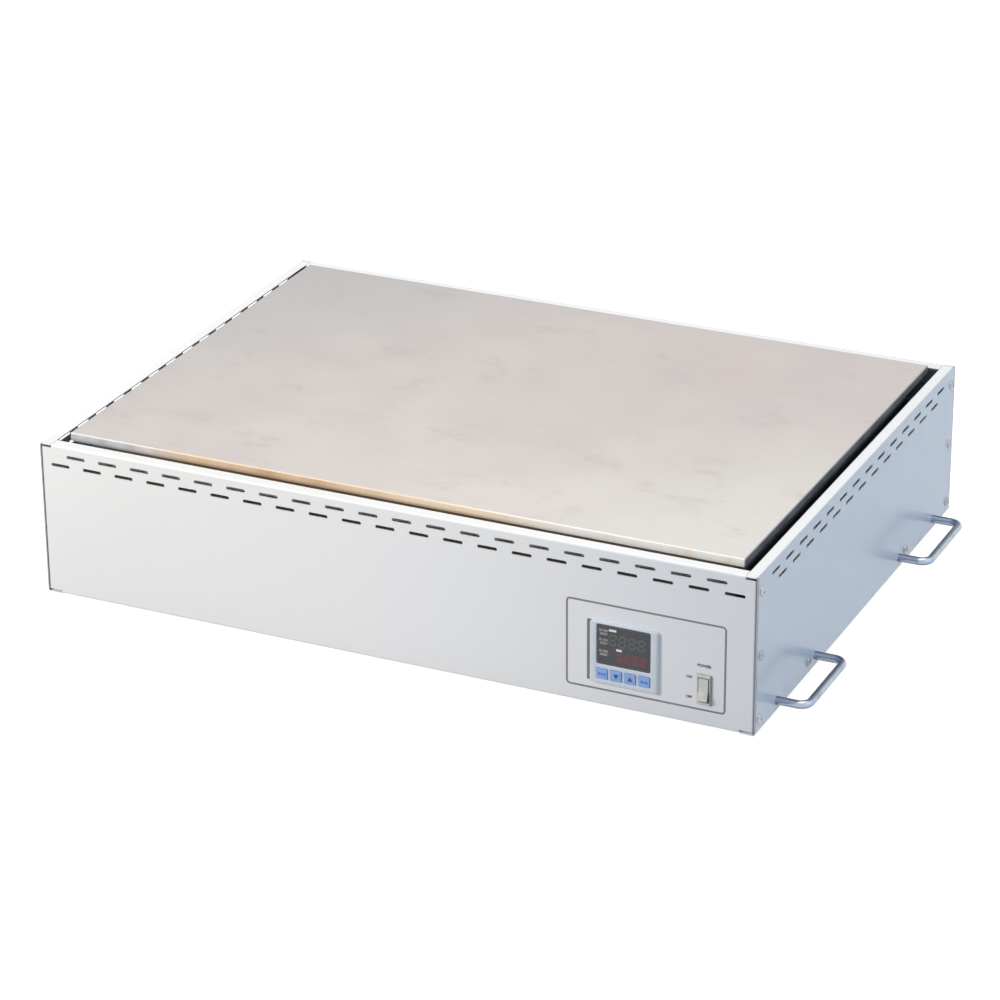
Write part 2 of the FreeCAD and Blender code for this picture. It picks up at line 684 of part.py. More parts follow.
def bottom_plate():
    """The bottom plate: a shallow channel that lies on the panels' bottom flanges."""
    body = new_body("bottom_plate", "0", "0", "foot_height")
    outer = "(casing_width / 2 - sheet)"
    section = new_sketch(body, "XZ_Plane")
    outline(
        section,
        (
            (f"-{outer}", "sheet"),
            (outer, "sheet"),
            (outer, "sheet + base_flange"),
            (f"{outer} - sheet", "sheet + base_flange"),
            (f"{outer} - sheet", "2 * sheet"),
            (f"-{outer} + sheet", "2 * sheet"),
            (f"-{outer} + sheet", "sheet + base_flange"),
            (f"-{outer}", "sheet + base_flange"),
        ),
    )
    pad(body, section, "casing_depth - 2 * (return_width + notch_play)", side="Symmetric")
    soften(body, "Fillet", "bend_inside + sheet", ((outer, "0", "sheet"), (f"-{outer}", "0", "sheet")))
    soften(
        body,
        "Fillet",
        "bend_inside",
        ((f"{outer} - sheet", "0", "2 * sheet"), (f"-{outer} + sheet", "0", "2 * sheet")),
    )
    floor = new_sketch(body, "XY_Plane", "sheet")
    block_outline(
        floor,
        "0",
        "0",
        f"(2 * ({outer} - sheet - bend_inside - notch_play))",
        "(casing_depth - 2 * (sheet + bend_inside + notch_play))",
    )
    pad(body, floor, "sheet")

    holes = new_sketch(body, "XY_Plane")
    for x in ("", "-"):
        for y in ("", "-"):
            disc(holes, f"{x}{FOOT_X}", f"{y}{FOOT_Y}", "foot_screw_shank + hole_play")
            disc(holes, f"{x}{POST_X}", f"{y}{POST_Y}", "clamp_screw_shank + hole_play")
    for end in ("+", "-"):
        disc(
            holes,
            f"block_x {end} (block_length / 2 - block_ear)",
            "block_y",
            "small_shank + hole_play",
        )
        disc(holes, "sink_x", f"{SINK_Y} {end} sink_length / 2 - ({end}block_ear)", "small_shank + hole_play")
    disc(holes, "earth_x", "earth_y", "foot_screw_shank + hole_play")
    cut(body, holes)
    flange_holes = new_sketch(body, "YZ_Plane")
    for side in ("", "-"):
        disc(flange_holes, f"{side}{INNER_SCREW_Y}", "screw_low", "casing_screw_shank + hole_play")
        for leg in ("+", "-"):
            spot = f"{side}handle_offset {leg} handle_pitch / 2"
            disc(flange_holes, spot, "handle_height", "handle_bore + hole_play")
    cut(body, flange_holes)
    for side in ("-", ""):
        vents = new_sketch(body, "XY_Plane")
        slot_outline(
            vents,
            f"(-({BASE_VENTS} - 1) * base_vent_pitch / 2)",
            f"({side}base_vent_spread / 2)",
            "base_vent_length",
            "base_vent_width",
            "(base_vent_width / 3)",
        )
        vent = cut(body, vents)
        repeat(body, vent, vents, "H_Axis", "base_vent_pitch", BASE_VENTS)
    return kept(body)


def casing_screws():
    """Round-headed screws down the corners of both side panels and along their bottom."""
    master = screw(
        "casing_screw", "casing_screw_head", "casing_screw_rise", "casing_screw_shank", "casing_screw_length"
    )
    places = []
    for side, turn in (("", TO_RIGHT), ("-", TO_LEFT)):
        x = f"{side}casing_width / 2"
        for end in ("", "-"):
            for z in ("screw_low", "screw_middle", "screw_high"):
                places.append((x, f"{end}{SCREW_Y}", f"foot_height + {z}", turn))
            places.append((x, f"{end}{INNER_SCREW_Y}", "foot_height + screw_low", turn))
    copies("casing_screws", master, places)


# Handles


def handle(label, side, end):
    """A bent bar handle that stands out along its own +X from the side panel."""
    turn = UPRIGHT if side == "" else HALF_TURN
    body = new_body(
        label,
        f"{side}casing_width / 2",
        f"{end}handle_offset",
        "foot_height + handle_height",
        turn,
    )
    half = number("handle_pitch / 2")
    reach = number("handle_reach")
    bend = number("handle_bend")
    quarter = math.pi / 2
    spots = ((0, -half), (reach - bend, -half), (reach, bend - half))
    spots += ((reach, half - bend), (reach - bend, half), (0, half))
    ends = [FreeCAD.Vector(x, y, 0) for x, y in spots]
    corner = FreeCAD.Vector(reach - bend, bend - half, 0)
    far_corner = FreeCAD.Vector(reach - bend, half - bend, 0)
    path = new_sketch(body, "XY_Plane")
    path.addGeometry(Part.LineSegment(ends[0], ends[1]))
    path.addGeometry(Part.ArcOfCircle(Part.Circle(corner, Z_AXIS, bend), -quarter, 0))
    path.addGeometry(Part.LineSegment(ends[2], ends[3]))
    path.addGeometry(Part.ArcOfCircle(Part.Circle(far_corner, Z_AXIS, bend), 0, quarter))
    path.addGeometry(Part.LineSegment(ends[4], ends[5]))
    path.addConstraint(Sketcher.Constraint("Tangent", 0, 2, 1, 1))
    path.addConstraint(Sketcher.Constraint("Tangent", 1, 2, 2, 1))
    path.addConstraint(Sketcher.Constraint("Tangent", 2, 2, 3, 1))
    path.addConstraint(Sketcher.Constraint("Tangent", 3, 2, 4, 1))
    path.addConstraint(Sketcher.Constraint("Horizontal", 0))
    path.addConstraint(Sketcher.Constraint("Horizontal", 4))
    path.addConstraint(Sketcher.Constraint("Vertical", 2))
    hold_point(path, 0, 1, "0", "-handle_pitch / 2")
    hold_point(path, 4, 2, "0", "handle_pitch / 2")
    hold(path, "DistanceX", -1, 1, 2, 1, size="handle_reach")
    hold(path, "Radius", 1, size="handle_bend")
    hold(path, "Radius", 3, size="handle_bend")
    section = new_sketch(body, "YZ_Plane")
    disc(section, "-handle_pitch / 2", "0", "handle_bar")
    DOC.recompute()
    bar = add(body, "AdditivePipe", section)
    bar.Spine = (path, [])
    bores = new_sketch(body, "YZ_Plane")
    for leg in ("-", ""):
        disc(bores, f"{leg}handle_pitch / 2", "0", "handle_bore + hole_play / 2")
    DOC.recompute()
    cut(body, bores, "handle_bore_depth", back=True)
    return kept(body)


def handles():
    """Two handles low on each side panel, and the screws that hold them from inside."""
    for side, side_name in (("-", "left"), ("", "right")):
        for end, end_name in (("-", "front"), ("", "rear")):
            handle(f"handle_{end_name}_{side_name}", side, end)
    master = bolt(
        "handle_screw",
        "handle_screw_head",
        "handle_screw_rise",
        "handle_bore",
        "(2 * sheet + handle_screw_grip)",
    )
    places = []
    for side, turn in (("", TO_LEFT), ("-", TO_RIGHT)):
        inside = f"{side}(casing_width / 2 - 2 * sheet)"
        for end in ("", "-"):
            for leg in ("+", "-"):
                y = f"{end}handle_offset {leg} handle_pitch / 2"
                places.append((inside, y, "foot_height + handle_height", turn))
    copies("handle_screws", master, places)


# Feet


def feet():
    """Four rubber feet, each held by a screw from below and a nut on the bottom plate."""
    height = "(foot_height + sheet)"
    points = (
        ("foot_recess", "0"),
        ("foot_bottom", "0"),
        ("foot_top", height),
        ("foot_screw_shank + hole_play", height),
        ("foot_screw_shank + hole_play", "foot_recess_depth"),
        ("foot_recess", "foot_recess_depth"),
    )
    spots = []
    for side, side_name in (("-", "left"), ("", "right")):
        for end, end_name in (("-", "front"), ("", "rear")):
            spot = (f"{side}{FOOT_X}", f"{end}{FOOT_Y}")
            spots.append(spot)
            kept(turned(f"foot_{end_name}_{side_name}", points, *spot))
    shank = f"({BASE_TOP} - foot_recess_depth + foot_nut_height + thread_end)"
    foot_screw = screw("foot_screw", "foot_screw_head", "foot_screw_rise", "foot_screw_shank", shank)
    copies("foot_screws", foot_screw, [(x, y, "foot_recess_depth", TO_FLOOR) for x, y in spots])
    nut = new_body("foot_nut")
    sketch = new_sketch(nut, "XY_Plane")
    hexagon(sketch, "foot_nut_radius")
    disc(sketch, "0", "0", "foot_screw_shank + hole_play / 2")
    pad(nut, sketch, "foot_nut_height")
    copies("foot_nuts", nut, [(x, y, BASE_TOP, UPRIGHT) for x, y in spots])


# Heating plate and what hangs under it


def clamp_screw_spots():
    """Where the clamp screws stand: between the runs of each element, on each bar."""
    return [(f"{k} * clamp_spread", f"{n} * element_spacing") for k in (-1, 0, 1) for n in (-2, 0, 2)]


def heating_plate():
    """The plate, with blind bores from below for its posts, clamp screws and sensor clip."""
    body = new_body("heating_plate", "0", "0", PLATE_UNDER)
    sketch = new_sketch(body, "XY_Plane")
    block_outline(sketch, "0", "0", "plate_length", "plate_depth")
    pad(body, sketch, "plate_thickness")
    x = "plate_length / 2"
    y = "plate_depth / 2"
    top = "plate_thickness"
    middle = "plate_thickness / 2"
    corners = [(f"{a}{x}", f"{b}{y}", middle) for a in ("", "-") for b in ("", "-")]
    rim = [("0", y, top), ("0", f"-{y}", top), (x, "0", top), (f"-{x}", "0", top)]
    soften(body, "Chamfer", "plate_chamfer", corners + rim)
    DOC.recompute()
    bores = new_sketch(body, "XY_Plane")
    for a in ("", "-"):
        for b in ("", "-"):
            disc(bores, f"{a}{POST_X}", f"{b}{POST_Y}", "post_stud + hole_play")
    cut(body, bores, "post_stud_length + seat_play", back=True)
    threads = new_sketch(body, "XY_Plane")
    for a, b in clamp_screw_spots():
        disc(threads, a, b, "clamp_screw_shank + hole_play")
    disc(threads, "0", f"{SENSOR_Y} + clip_tongue / 2 + sensor_radius", "small_shank + hole_play")
    cut(body, threads, "clamp_screw_grip + seat_play", back=True)
    kept(body)


def heating_elements():
    """Three hairpin elements against the plate, their ends through the tray's right wall."""
    for row, name in ((-2, "front"), (0, "middle"), (2, "rear")):
        body = new_body(
            f"heating_element_{name}",
            "0",
            f"{row} * element_spacing",
            f"{PLATE_UNDER} - element_radius",
        )
        half = number("element_spacing / 2")
        bend = -number("element_reach")
        tip = number("tray_length / 2 + element_tail")
        path = new_sketch(body, "XY_Plane")
        path.addGeometry(Part.LineSegment(FreeCAD.Vector(tip, half, 0), FreeCAD.Vector(bend, half, 0)))
        turn = Part.Circle(FreeCAD.Vector(bend, 0, 0), Z_AXIS, half)
        path.addGeometry(Part.ArcOfCircle(turn, math.pi / 2, 3 * math.pi / 2))
        path.addGeometry(Part.LineSegment(FreeCAD.Vector(bend, -half, 0), FreeCAD.Vector(tip, -half, 0)))
        path.addConstraint(Sketcher.Constraint("Tangent", 0, 2, 1, 1))
        path.addConstraint(Sketcher.Constraint("Tangent", 1, 2, 2, 1))
        path.addConstraint(Sketcher.Constraint("Horizontal", 0))
        path.addConstraint(Sketcher.Constraint("Horizontal", 2))
        hold_point(path, 0, 1, "tray_length / 2 + element_tail", "element_spacing / 2")
        hold_point(path, 2, 2, "tray_length / 2 + element_tail", "-element_spacing / 2")
        hold(path, "DistanceX", -1, 1, 1, 3, size="-element_reach")
        section = new_sketch(body, "YZ_Plane", "tray_length / 2 + element_tail")
        disc(section, "element_spacing / 2", "0", "element_radius")
        DOC.recompute()
        sheath = add(body, "AdditivePipe", section)
        sheath.Spine = (path, [])
        pins = new_sketch(body, "YZ_Plane", "tray_length / 2 + element_tail")
        for run in ("-", ""):
            disc(pins, f"{run}element_spacing / 2", "0", "element_pin")
        DOC.recompute()
        pad(body, pins, "element_pin_length")
        kept(body)


def clamp_bars():
    """Three bars across the elements, screwed up into the plate."""
    for k, name in ((-1, "left"), (0, "middle"), (1, "right")):
        body = new_body(f"clamp_bar_{name}", f"{k} * clamp_spread", "0", CLAMP_UNDER)
        sketch = new_sketch(body, "XY_Plane")
        block_outline(sketch, "0", "0", "clamp_width", CLAMP_LENGTH)
        for n in (-2, 0, 2):
            disc(sketch, "0", f"{n} * element_spacing", "clamp_screw_shank + hole_play")
        pad(body, sketch, "clamp_thickness")
        kept(body)
    master = bolt(
        "clamp_screw",
        "clamp_screw_head",
        "clamp_screw_rise",
        "clamp_screw_shank",
        "(clamp_thickness + 2 * element_radius + clamp_screw_grip)",
    )
    copies("clamp_screws", master, [(x, y, CLAMP_UNDER, TO_FLOOR) for x, y in clamp_screw_spots()])


def insulation_board():
    """The board in the tray, with a hole round each post."""
    body = new_body("insulation_board", "0", "0", TRAY_FLOOR)
    sketch = new_sketch(body, "XY_Plane")
    block_outline(
        sketch,
        "0",
        "0",
        "(tray_length - 2 * (tray_sheet + insulation_play))",
        "(tray_depth - 2 * (tray_sheet + insulation_play))",
    )
    for a in ("", "-"):
        for b in ("", "-"):
            disc(sketch, f"{a}{POST_X}", f"{b}{POST_Y}", "post_neck + insulation_play")
    pad(body, sketch, "insulation_thickness")
    kept(body)


def heat_shield_tray():
    """The tray that stands on the posts' shoulders and holds the insulation board."""
    body = new_body("heat_shield_tray", "0", "0", TRAY_UNDER)
    height = f"({PLATE_UNDER} - tray_rim_gap - {TRAY_UNDER})"
    outer = new_sketch(body, "XY_Plane")
    block_outline(outer, "0", "0", "tray_length", "tray_depth")
    pad(body, outer, height)
    inner = new_sketch(body, "XY_Plane", "tray_sheet")
    block_outline(inner, "0", "0", "(tray_length - 2 * tray_sheet)", "(tray_depth - 2 * tray_sheet)")
    cut(body, inner, height, back=True)
    holes = new_sketch(body, "XY_Plane")
    for a in ("", "-"):
        for b in ("", "-"):
            disc(holes, f"{a}{POST_X}", f"{b}{POST_Y}", "post_neck + hole_play")
        disc(holes, f"cutout_x + ({a}cutout_ear)", "0", "small_shank + hole_play")
    cut(body, holes)
    ends = new_sketch(body, "YZ_Plane", "tray_length / 2")
    axis = f"({PLATE_UNDER} - element_radius - {TRAY_UNDER})"
    for n in (-2.5, -1.5, -0.5, 0.5, 1.5, 2.5):
        disc(ends, f"{n} * element_spacing", axis, "element_radius + seat_play")
    cut(body, ends, "2 * tray_sheet")
    kept(body)


def support_posts():
    """Posts from the bottom plate to the heating plate, shouldered under the tray."""
    shoulder = f"({TRAY_UNDER} - {BASE_TOP})"
    top = f"({PLATE_UNDER} - {BASE_TOP})"
    grip = "(clamp_screw_grip + seat_play)"
    bore = "clamp_screw_shank + hole_play"
    points = (
        ("0", grip),
        (bore, grip),
        (bore, "0"),
        ("post_radius", "0"),
        ("post_radius", shoulder),
        ("post_neck", shoulder),
        ("post_neck", top),
        ("post_stud", top),
        ("post_stud", f"{top} + post_stud_length"),
        ("0", f"{top} + post_stud_length"),
    )
    spots = []
    for side, side_name in (("-", "left"), ("", "right")):
        for end, end_name in (("-", "front"), ("", "rear")):
            spot = (f"{side}{POST_X}", f"{end}{POST_Y}")
            spots.append(spot)
            kept(turned(f"support_post_{end_name}_{side_name}", points, *spot, BASE_TOP))
    master = bolt(
        "post_screw",
        "clamp_screw_head",
        "clamp_screw_rise",
        "clamp_screw_shank",
        "(sheet + clamp_screw_grip)",
    )
    copies("post_screws", master, [(x, y, BASE_UNDER, TO_FLOOR) for x, y in spots])


def temperature_sensor():
    """The sensor's sheath under the plate, its clip and the clip's screw."""
    sensor = new_body("temperature_sensor", "0", SENSOR_Y, f"{PLATE_UNDER} - sensor_radius")
    sketch = new_sketch(sensor, "YZ_Plane")
    disc(sketch, "0", "0", "sensor_radius")
    pad(sensor, sketch, "sensor_length", side="Symmetric")
    kept(sensor)

    clip = new_body("sensor_clip", "0", SENSOR_Y, PLATE_UNDER)
    profile = new_sketch(clip, "YZ_Plane")
    outer = "(sensor_radius + clip_thickness)"
    drop = "(2 * sensor_radius + clip_thickness)"
    outline(
        profile,
        (
            (f"-{outer}", "0"),
            (f"-{outer}", f"-{drop}"),
            (outer, f"-{drop}"),
            (outer, "-clip_thickness"),
            (f"{outer} + clip_tongue", "-clip_thickness"),
            (f"{outer} + clip_tongue", "0"),
            ("sensor_radius", "0"),
            ("sensor_radius", f"-{drop} + clip_thickness"),
            ("-sensor_radius", f"-{drop} + clip_thickness"),
            ("-sensor_radius", "0"),
        ),
    )
    pad(clip, profile, "clip_width", side="Symmetric")
    hole = new_sketch(clip, "XY_Plane")
    disc(hole, "0", "clip_tongue / 2 + sensor_radius", "small_shank + hole_play")
    cut(clip, hole)
    kept(clip)
    master = screw(
        "clip_screw", "small_head", "small_rise", "small_shank", "(clip_thickness + clamp_screw_grip)"
    )
    screw_y = f"{SENSOR_Y} + clip_tongue / 2 + sensor_radius"
    copies("sensor_screw", master, [("0", screw_y, f"{PLATE_UNDER} - clip_thickness", TO_FLOOR)])


def overheat_cutout():
    """A round cut-out under the tray's floor, with a flange and two tabs."""
    body = new_body("overheat_cutout", "cutout_x", "0", TRAY_UNDER)
    flange = new_sketch(body, "XY_Plane")
    ear = "(2 * (cutout_ear + small_head))"
    block_outline(flange, "0", "0", ear, "(2 * small_head + 2 * small_shank)")
    for side in ("-", ""):
        disc(flange, f"{side}cutout_ear", "0", "small_shank + hole_play")
    pad(body, flange, "cutout_flange", back=True)
    cup = new_sketch(body, "XY_Plane")
    disc(cup, "0", "0", "cutout_radius")
    pad(body, cup, "cutout_flange + cutout_body", back=True)
    tabs = new_sketch(body, "XY_Plane", "-(cutout_flange + cutout_body)")
    for side in ("-", ""):
        block_outline(tabs, f"{side}cutout_radius / 2", "0", "blade_thickness", "blade_width")
    pad(body, tabs, "blade_length", back=True)
    kept(body)
    master = screw("cutout_screw", "small_head", "small_rise", "small_shank", "(cutout_flange + tray_sheet)")
    places = []
    for side in ("", "-"):
        places.append((f"cutout_x + ({side}cutout_ear)", "0", f"{TRAY_UNDER} - cutout_flange", TO_FLOOR))
    copies("cutout_screws", master, places)


# Temperature controller


def controller_bezel():
    """The controller's face: a rounded frame with the window's opening and four key holes."""
    body = new_body("controller_bezel", "control_x", PANEL_FRONT, CONTROL_Z)
    plate = new_sketch(body, "XZ_Plane")
    block_outline(plate, "0", "0", "bezel_width", "bezel_height")
    pad(body, plate, "bezel_rise")
    x = "bezel_width / 2"
    z = "bezel_height / 2"
    corners = [(f"{a}{x}", "-bezel_rise / 2", f"{b}{z}") for a in ("", "-") for b in ("", "-")]
    soften(body, "Fillet", "bezel_round", corners)
    rim = [("0", "-bezel_rise", z), ("0", "-bezel_rise", f"-{z}"), (x, "-bezel_rise", "0")]
    rim.append((f"-{x}", "-bezel_rise", "0"))
    soften(body, "Chamfer", "bezel_round / 2", rim)
    holes = new_sketch(body, "XZ_Plane")
    block_outline(holes, "0", "window_up", "window_width", "window_height")
    for k in (-1.5, -0.5, 0.5, 1.5):
        block_outline(
            holes,
            f"{k} * key_pitch",
            "-key_drop",
            "(key_width + 2 * seat_play)",
            "(key_height + 2 * seat_play)",
        )
    DOC.recompute()
    cut(body, holes)
    seat = new_sketch(body, "XZ_Plane")
    block_outline(
        seat,
        "0",
        "window_up",
        "(window_width + 2 * window_ledge)",
        "(window_height + 2 * window_ledge)",
    )
    cut(body, seat, "bezel_rise - window_sink", back=True)
    kept(body)


def display_window():
    """The tinted window, seated behind the bezel's ledge."""
    body = new_body("display_window", "control_x", PANEL_FRONT, CONTROL_Z)
    sketch = new_sketch(body, "XZ_Plane", "bezel_rise - window_sink - window_thickness")
    ledge = "(window_ledge - hole_play)"
    block_outline(sketch, "0", "window_up", f"(window_width + 2 * {ledge})", f"(window_height + 2 * {ledge})")
    pad(body, sketch, "window_thickness")
    kept(body)


def display_board():
    """The circuit board, its display block behind the window and its four key contacts."""
    body = new_body("display_board", "control_x", PANEL_FRONT, CONTROL_Z)
    board = new_sketch(body, "XZ_Plane", "-(board_depth + board_thickness)")
    margin = "2 * (case_wall + board_play)"
    block_outline(board, "0", "0", f"(case_width - {margin})", f"(case_height - {margin})")
    pad(body, board, "board_thickness")
    block = new_sketch(body, "XZ_Plane", "-board_depth")
    block_outline(block, "0", "window_up", "display_width", "display_height")
    pad(body, block, "board_depth + bezel_rise - window_sink - window_thickness")
    contacts = new_sketch(body, "XZ_Plane", "-board_depth")
    stem_end = "(seat_play + key_flange_thickness + key_stem_length)"
    for k in (-1.5, -0.5, 0.5, 1.5):
        block_outline(contacts, f"{k} * key_pitch", "-key_drop", "(2 * key_stem)", "(2 * key_stem)")
    pad(body, contacts, f"board_depth - {stem_end} - key_travel - seat_play")
    kept(body)


def controller_case():
    """The controller's case: a box open to the front, with a terminal row at its back."""
    body = new_body("controller_case", "control_x", PANEL_FRONT, CONTROL_Z)
    shell = new_sketch(body, "XZ_Plane")
    block_outline(shell, "0", "0", "case_width", "case_height")
    pad(body, shell, "case_depth", back=True)
    hollow = new_sketch(body, "XZ_Plane")
    block_outline(hollow, "0", "0", "(case_width - 2 * case_wall)", "(case_height - 2 * case_wall)")
    cut(body, hollow, "case_depth - case_wall")
    row = new_sketch(body, "XZ_Plane", "-case_depth")
    block_outline(row, "0", "0", "(case_width - 4 * case_wall)", "terminal_row_height")
    pad(body, row, "terminal_row_depth", back=True)
    wells = new_sketch(body, "XZ_Plane", "-(case_depth + terminal_row_depth)")
    disc(wells, "-2.5 * terminal_pitch", "0", "terminal_well")
    DOC.recompute()
    well = cut(body, wells, "terminal_row_depth / 2", back=True)
    repeat(body, well, wells, "H_Axis", "terminal_pitch", "6")
    kept(body)


def controller_mounting_frame():
    """The frame that grips the case behind the front panel."""
    body = new_body("controller_mounting_frame", "control_x", PANEL_FRONT, CONTROL_Z)
    sketch = new_sketch(body, "XZ_Plane", "-sheet")
    width = "(case_width + 2 * hole_play)"
    height = "(case_height + 2 * hole_play)"
    block_outline(sketch, "0", "0", f"({width} + 2 * frame_wall)", f"({height} + 2 * frame_wall)")
    block_outline(sketch, "0", "0", width, height)
    pad(body, sketch, "frame_band", back=True)
    kept(body)


def keys():
    """Four keys in the bezel, each with a rim behind it and a stem to its contact."""
    for k, name in ((-1.5, "menu"), (-0.5, "down"), (0.5, "up"), (1.5, "shift")):
        body = new_body(
            f"key_{name}",
            f"control_x + {k} * key_pitch",
            PANEL_FRONT,
            f"{CONTROL_Z} - key_drop",
        )
        cap = new_sketch(body, "XZ_Plane", "-seat_play")
        block_outline(cap, "0", "0", "key_width", "key_height")
        pad(body, cap, "seat_play + bezel_rise + key_rise")
        x = "key_width / 2"
        z = "key_height / 2"
        face = "-(bezel_rise + key_rise)"
        rim = [(x, face, "0"), (f"-{x}", face, "0"), ("0", face, z), ("0", face, f"-{z}")]
        soften(body, "Chamfer", "key_round", rim)
        flange = new_sketch(body, "XZ_Plane", "-seat_play")
        block_outline(flange, "0", "0", "(key_width + 2 * key_flange)", "(key_height + 2 * key_flange)")
        pad(body, flange, "key_flange_thickness", back=True)
        stem = new_sketch(body, "XZ_Plane", "-seat_play")
        block_outline(stem, "0", "0", "(2 * key_stem)", "(2 * key_stem)")
        pad(body, stem, "key_flange_thickness + key_stem_length", back=True)
        kept(body)


# Power switch


def switch_housing():
    """The switch's frame and body, hollow for the rocker, with its pivot holes."""
    body = new_body("switch_housing", "switch_x", PANEL_FRONT, SWITCH_Z)
    frame = new_sketch(body, "XZ_Plane")
    block_outline(frame, "0", "0", "switch_width", "switch_height")
    pad(body, frame, "switch_rise")
    x = "switch_width / 2"
    z = "switch_height / 2"
    face = "-switch_rise"
    rim = [(x, face, "0"), (f"-{x}", face, "0"), ("0", face, z), ("0", face, f"-{z}")]
    soften(body, "Chamfer", "switch_rise / 3", rim)
    back = new_sketch(body, "XZ_Plane")
    block_outline(back, "0", "0", "switch_body_width", "switch_body_height")
    pad(body, back, "switch_depth", back=True)
    well = new_sketch(body, "XZ_Plane", "switch_rise")
    block_outline(
        well,
        "0",
        "0",
        "(rocker_width + 2 * rocker_play)",
        "(2 * (rocker_swing + seat_play))",
    )
    cut(body, well, "switch_rise + switch_depth - switch_back")
    pivots = new_sketch(body, "YZ_Plane")
    disc(pivots, "rocker_pivot_depth", "0", "rocker_pin + pin_play")
    DOC.recompute()
    cut(body, pivots)
    kept(body)


def switch_rocker():
    """The rocker, its own origin at its pivot, pressed at its top."""
    body = new_body("switch_rocker", "switch_x", f"{PANEL_FRONT} + rocker_pivot_depth", SWITCH_Z)
    swing = number("rocker_swing")
    front = number("rocker_front")
    back = number("rocker_back")
    pressed = math.asin(front / swing)
    proud = pressed + math.radians(number("rocker_angle"))
    rear = math.asin(back / swing)

    def rim(angle, up):
        return FreeCAD.Vector(-swing * math.sin(angle), up * swing * math.cos(angle), 0)

    section = new_sketch(body, "YZ_Plane")
    valley = FreeCAD.Vector(-front, 0, 0)
    section.addGeometry(Part.LineSegment(valley, rim(pressed, 1)))
    section.addGeometry(Part.Arc(rim(pressed, 1), FreeCAD.Vector(0, swing, 0), rim(-rear, 1)))
    section.addGeometry(Part.LineSegment(rim(-rear, 1), rim(-rear, -1)))
    section.addGeometry(Part.Arc(rim(-rear, -1), FreeCAD.Vector(0, -swing, 0), rim(proud, -1)))
    section.addGeometry(Part.LineSegment(rim(proud, -1), valley))
    pairs = ((0, 2, 1, 2), (1, 1, 2, 1), (2, 2, 3, 2), (3, 1, 4, 1), (4, 2, 0, 1))
    for first, end, second, start in pairs:
        section.addConstraint(Sketcher.Constraint("Coincident", first, end, second, start))
    section.addConstraint(Sketcher.Constraint("Coincident", 1, 3, -1, 1))
    section.addConstraint(Sketcher.Constraint("Coincident", 3, 3, -1, 1))
    section.addConstraint(Sketcher.Constraint("Vertical", 0))
    section.addConstraint(Sketcher.Constraint("Vertical", 2))
    hold(section, "Radius", 1, size="rocker_swing")
    hold(section, "Radius", 3, size="rocker_swing")
    hold_point(section, 0, 1, "-rocker_front", "0")
    hold(section, "DistanceX", -1, 1, 2, 1, size="rocker_back")
    low = "(asin(rocker_front / rocker_swing) + rocker_angle * 1deg)"
    hold(section, "DistanceX", -1, 1, 4, 1, size=f"-rocker_swing * sin({low})")
    DOC.recompute()
    pad(body, section, "rocker_width", side="Symmetric")
    pins = new_sketch(body, "YZ_Plane")
    disc(pins, "0", "0", "rocker_pin")
    pad(body, pins, "rocker_width + 2 * rocker_pin_length", side="Symmetric")
    kept(body)


def switch_terminals():
    """Three blades at the switch's back."""
    blade = new_body("switch_blade")
    sketch = new_sketch(blade, "XZ_Plane")
    block_outline(sketch, "0", "0", "blade_width", "blade_thickness")
    pad(blade, sketch, "blade_length", back=True)
    places = []
    for k in (-1, 0, 1):
        height = f"{SWITCH_Z} + ({k}) * blade_pitch"
        places.append(("switch_x", f"{PANEL_FRONT} + switch_depth", height, UPRIGHT))
    copies("switch_terminals", blade, places)


# Electrics on the bottom plate


def relay_heat_sink():
    """A finned extrusion that stands on the bottom plate, its web on top."""
    body = new_body("relay_heat_sink", "sink_x", SINK_Y, BASE_TOP)
    web = new_sketch(body, "XZ_Plane")
    rectangle(web, "-sink_width / 2", "sink_height - sink_web", "sink_width / 2", "sink_height")
    pad(body, web, "sink_length", side="Symmetric")
    fin = new_sketch(body, "XZ_Plane")
    rectangle(fin, "-sink_width / 2", "0", "-sink_width / 2 + sink_fin", "sink_height")
    DOC.recompute()
    first = pad(body, fin, "sink_length", side="Symmetric")
    repeat(body, first, fin, "H_Axis", FIN_STEP, "sink_fins")
    DOC.recompute()
    bores = new_sketch(body, "XY_Plane", "sink_height")
    for end in ("+", "-"):
        disc(bores, "0", f"{end}relay_screw_spread / 2", "clamp_screw_shank + hole_play")
    cut(body, bores)
    kept(body)


def solid_state_relay():
    """The relay on its heat sink, with a lower shelf and a screw at each end."""
    body = new_body("solid_state_relay", "sink_x", SINK_Y, f"{BASE_TOP} + sink_height")
    side = new_sketch(body, "YZ_Plane")
    half = "(relay_length / 2)"
    outline(
        side,
        (
            (f"-{half}", "0"),
            (half, "0"),
            (half, "relay_shelf"),
            (f"{half} - relay_step", "relay_shelf"),
            (f"{half} - relay_step", "relay_height"),
            (f"-{half} + relay_step", "relay_height"),
            (f"-{half} + relay_step", "relay_shelf"),
            (f"-{half}", "relay_shelf"),
        ),
    )
    pad(body, side, "relay_width", side="Symmetric")
    holes = new_sketch(body, "XY_Plane")
    for end in ("+", "-"):
        disc(holes, "0", f"{end}relay_screw_spread / 2", "clamp_screw_shank + hole_play")
    DOC.recompute()
    cut(body, holes)
    kept(body)
    master = screw(
        "relay_screw",
        "clamp_screw_head",
        "clamp_screw_rise",
        "clamp_screw_shank",
        "(relay_shelf + sink_web)",
    )
    places = []
    for end in ("+", "-"):
        y = f"{SINK_Y} {end} relay_screw_spread / 2"
        places.append(("sink_x", y, f"{BASE_TOP} + sink_height + relay_shelf", UPRIGHT))
    copies("relay_screws", master, places)


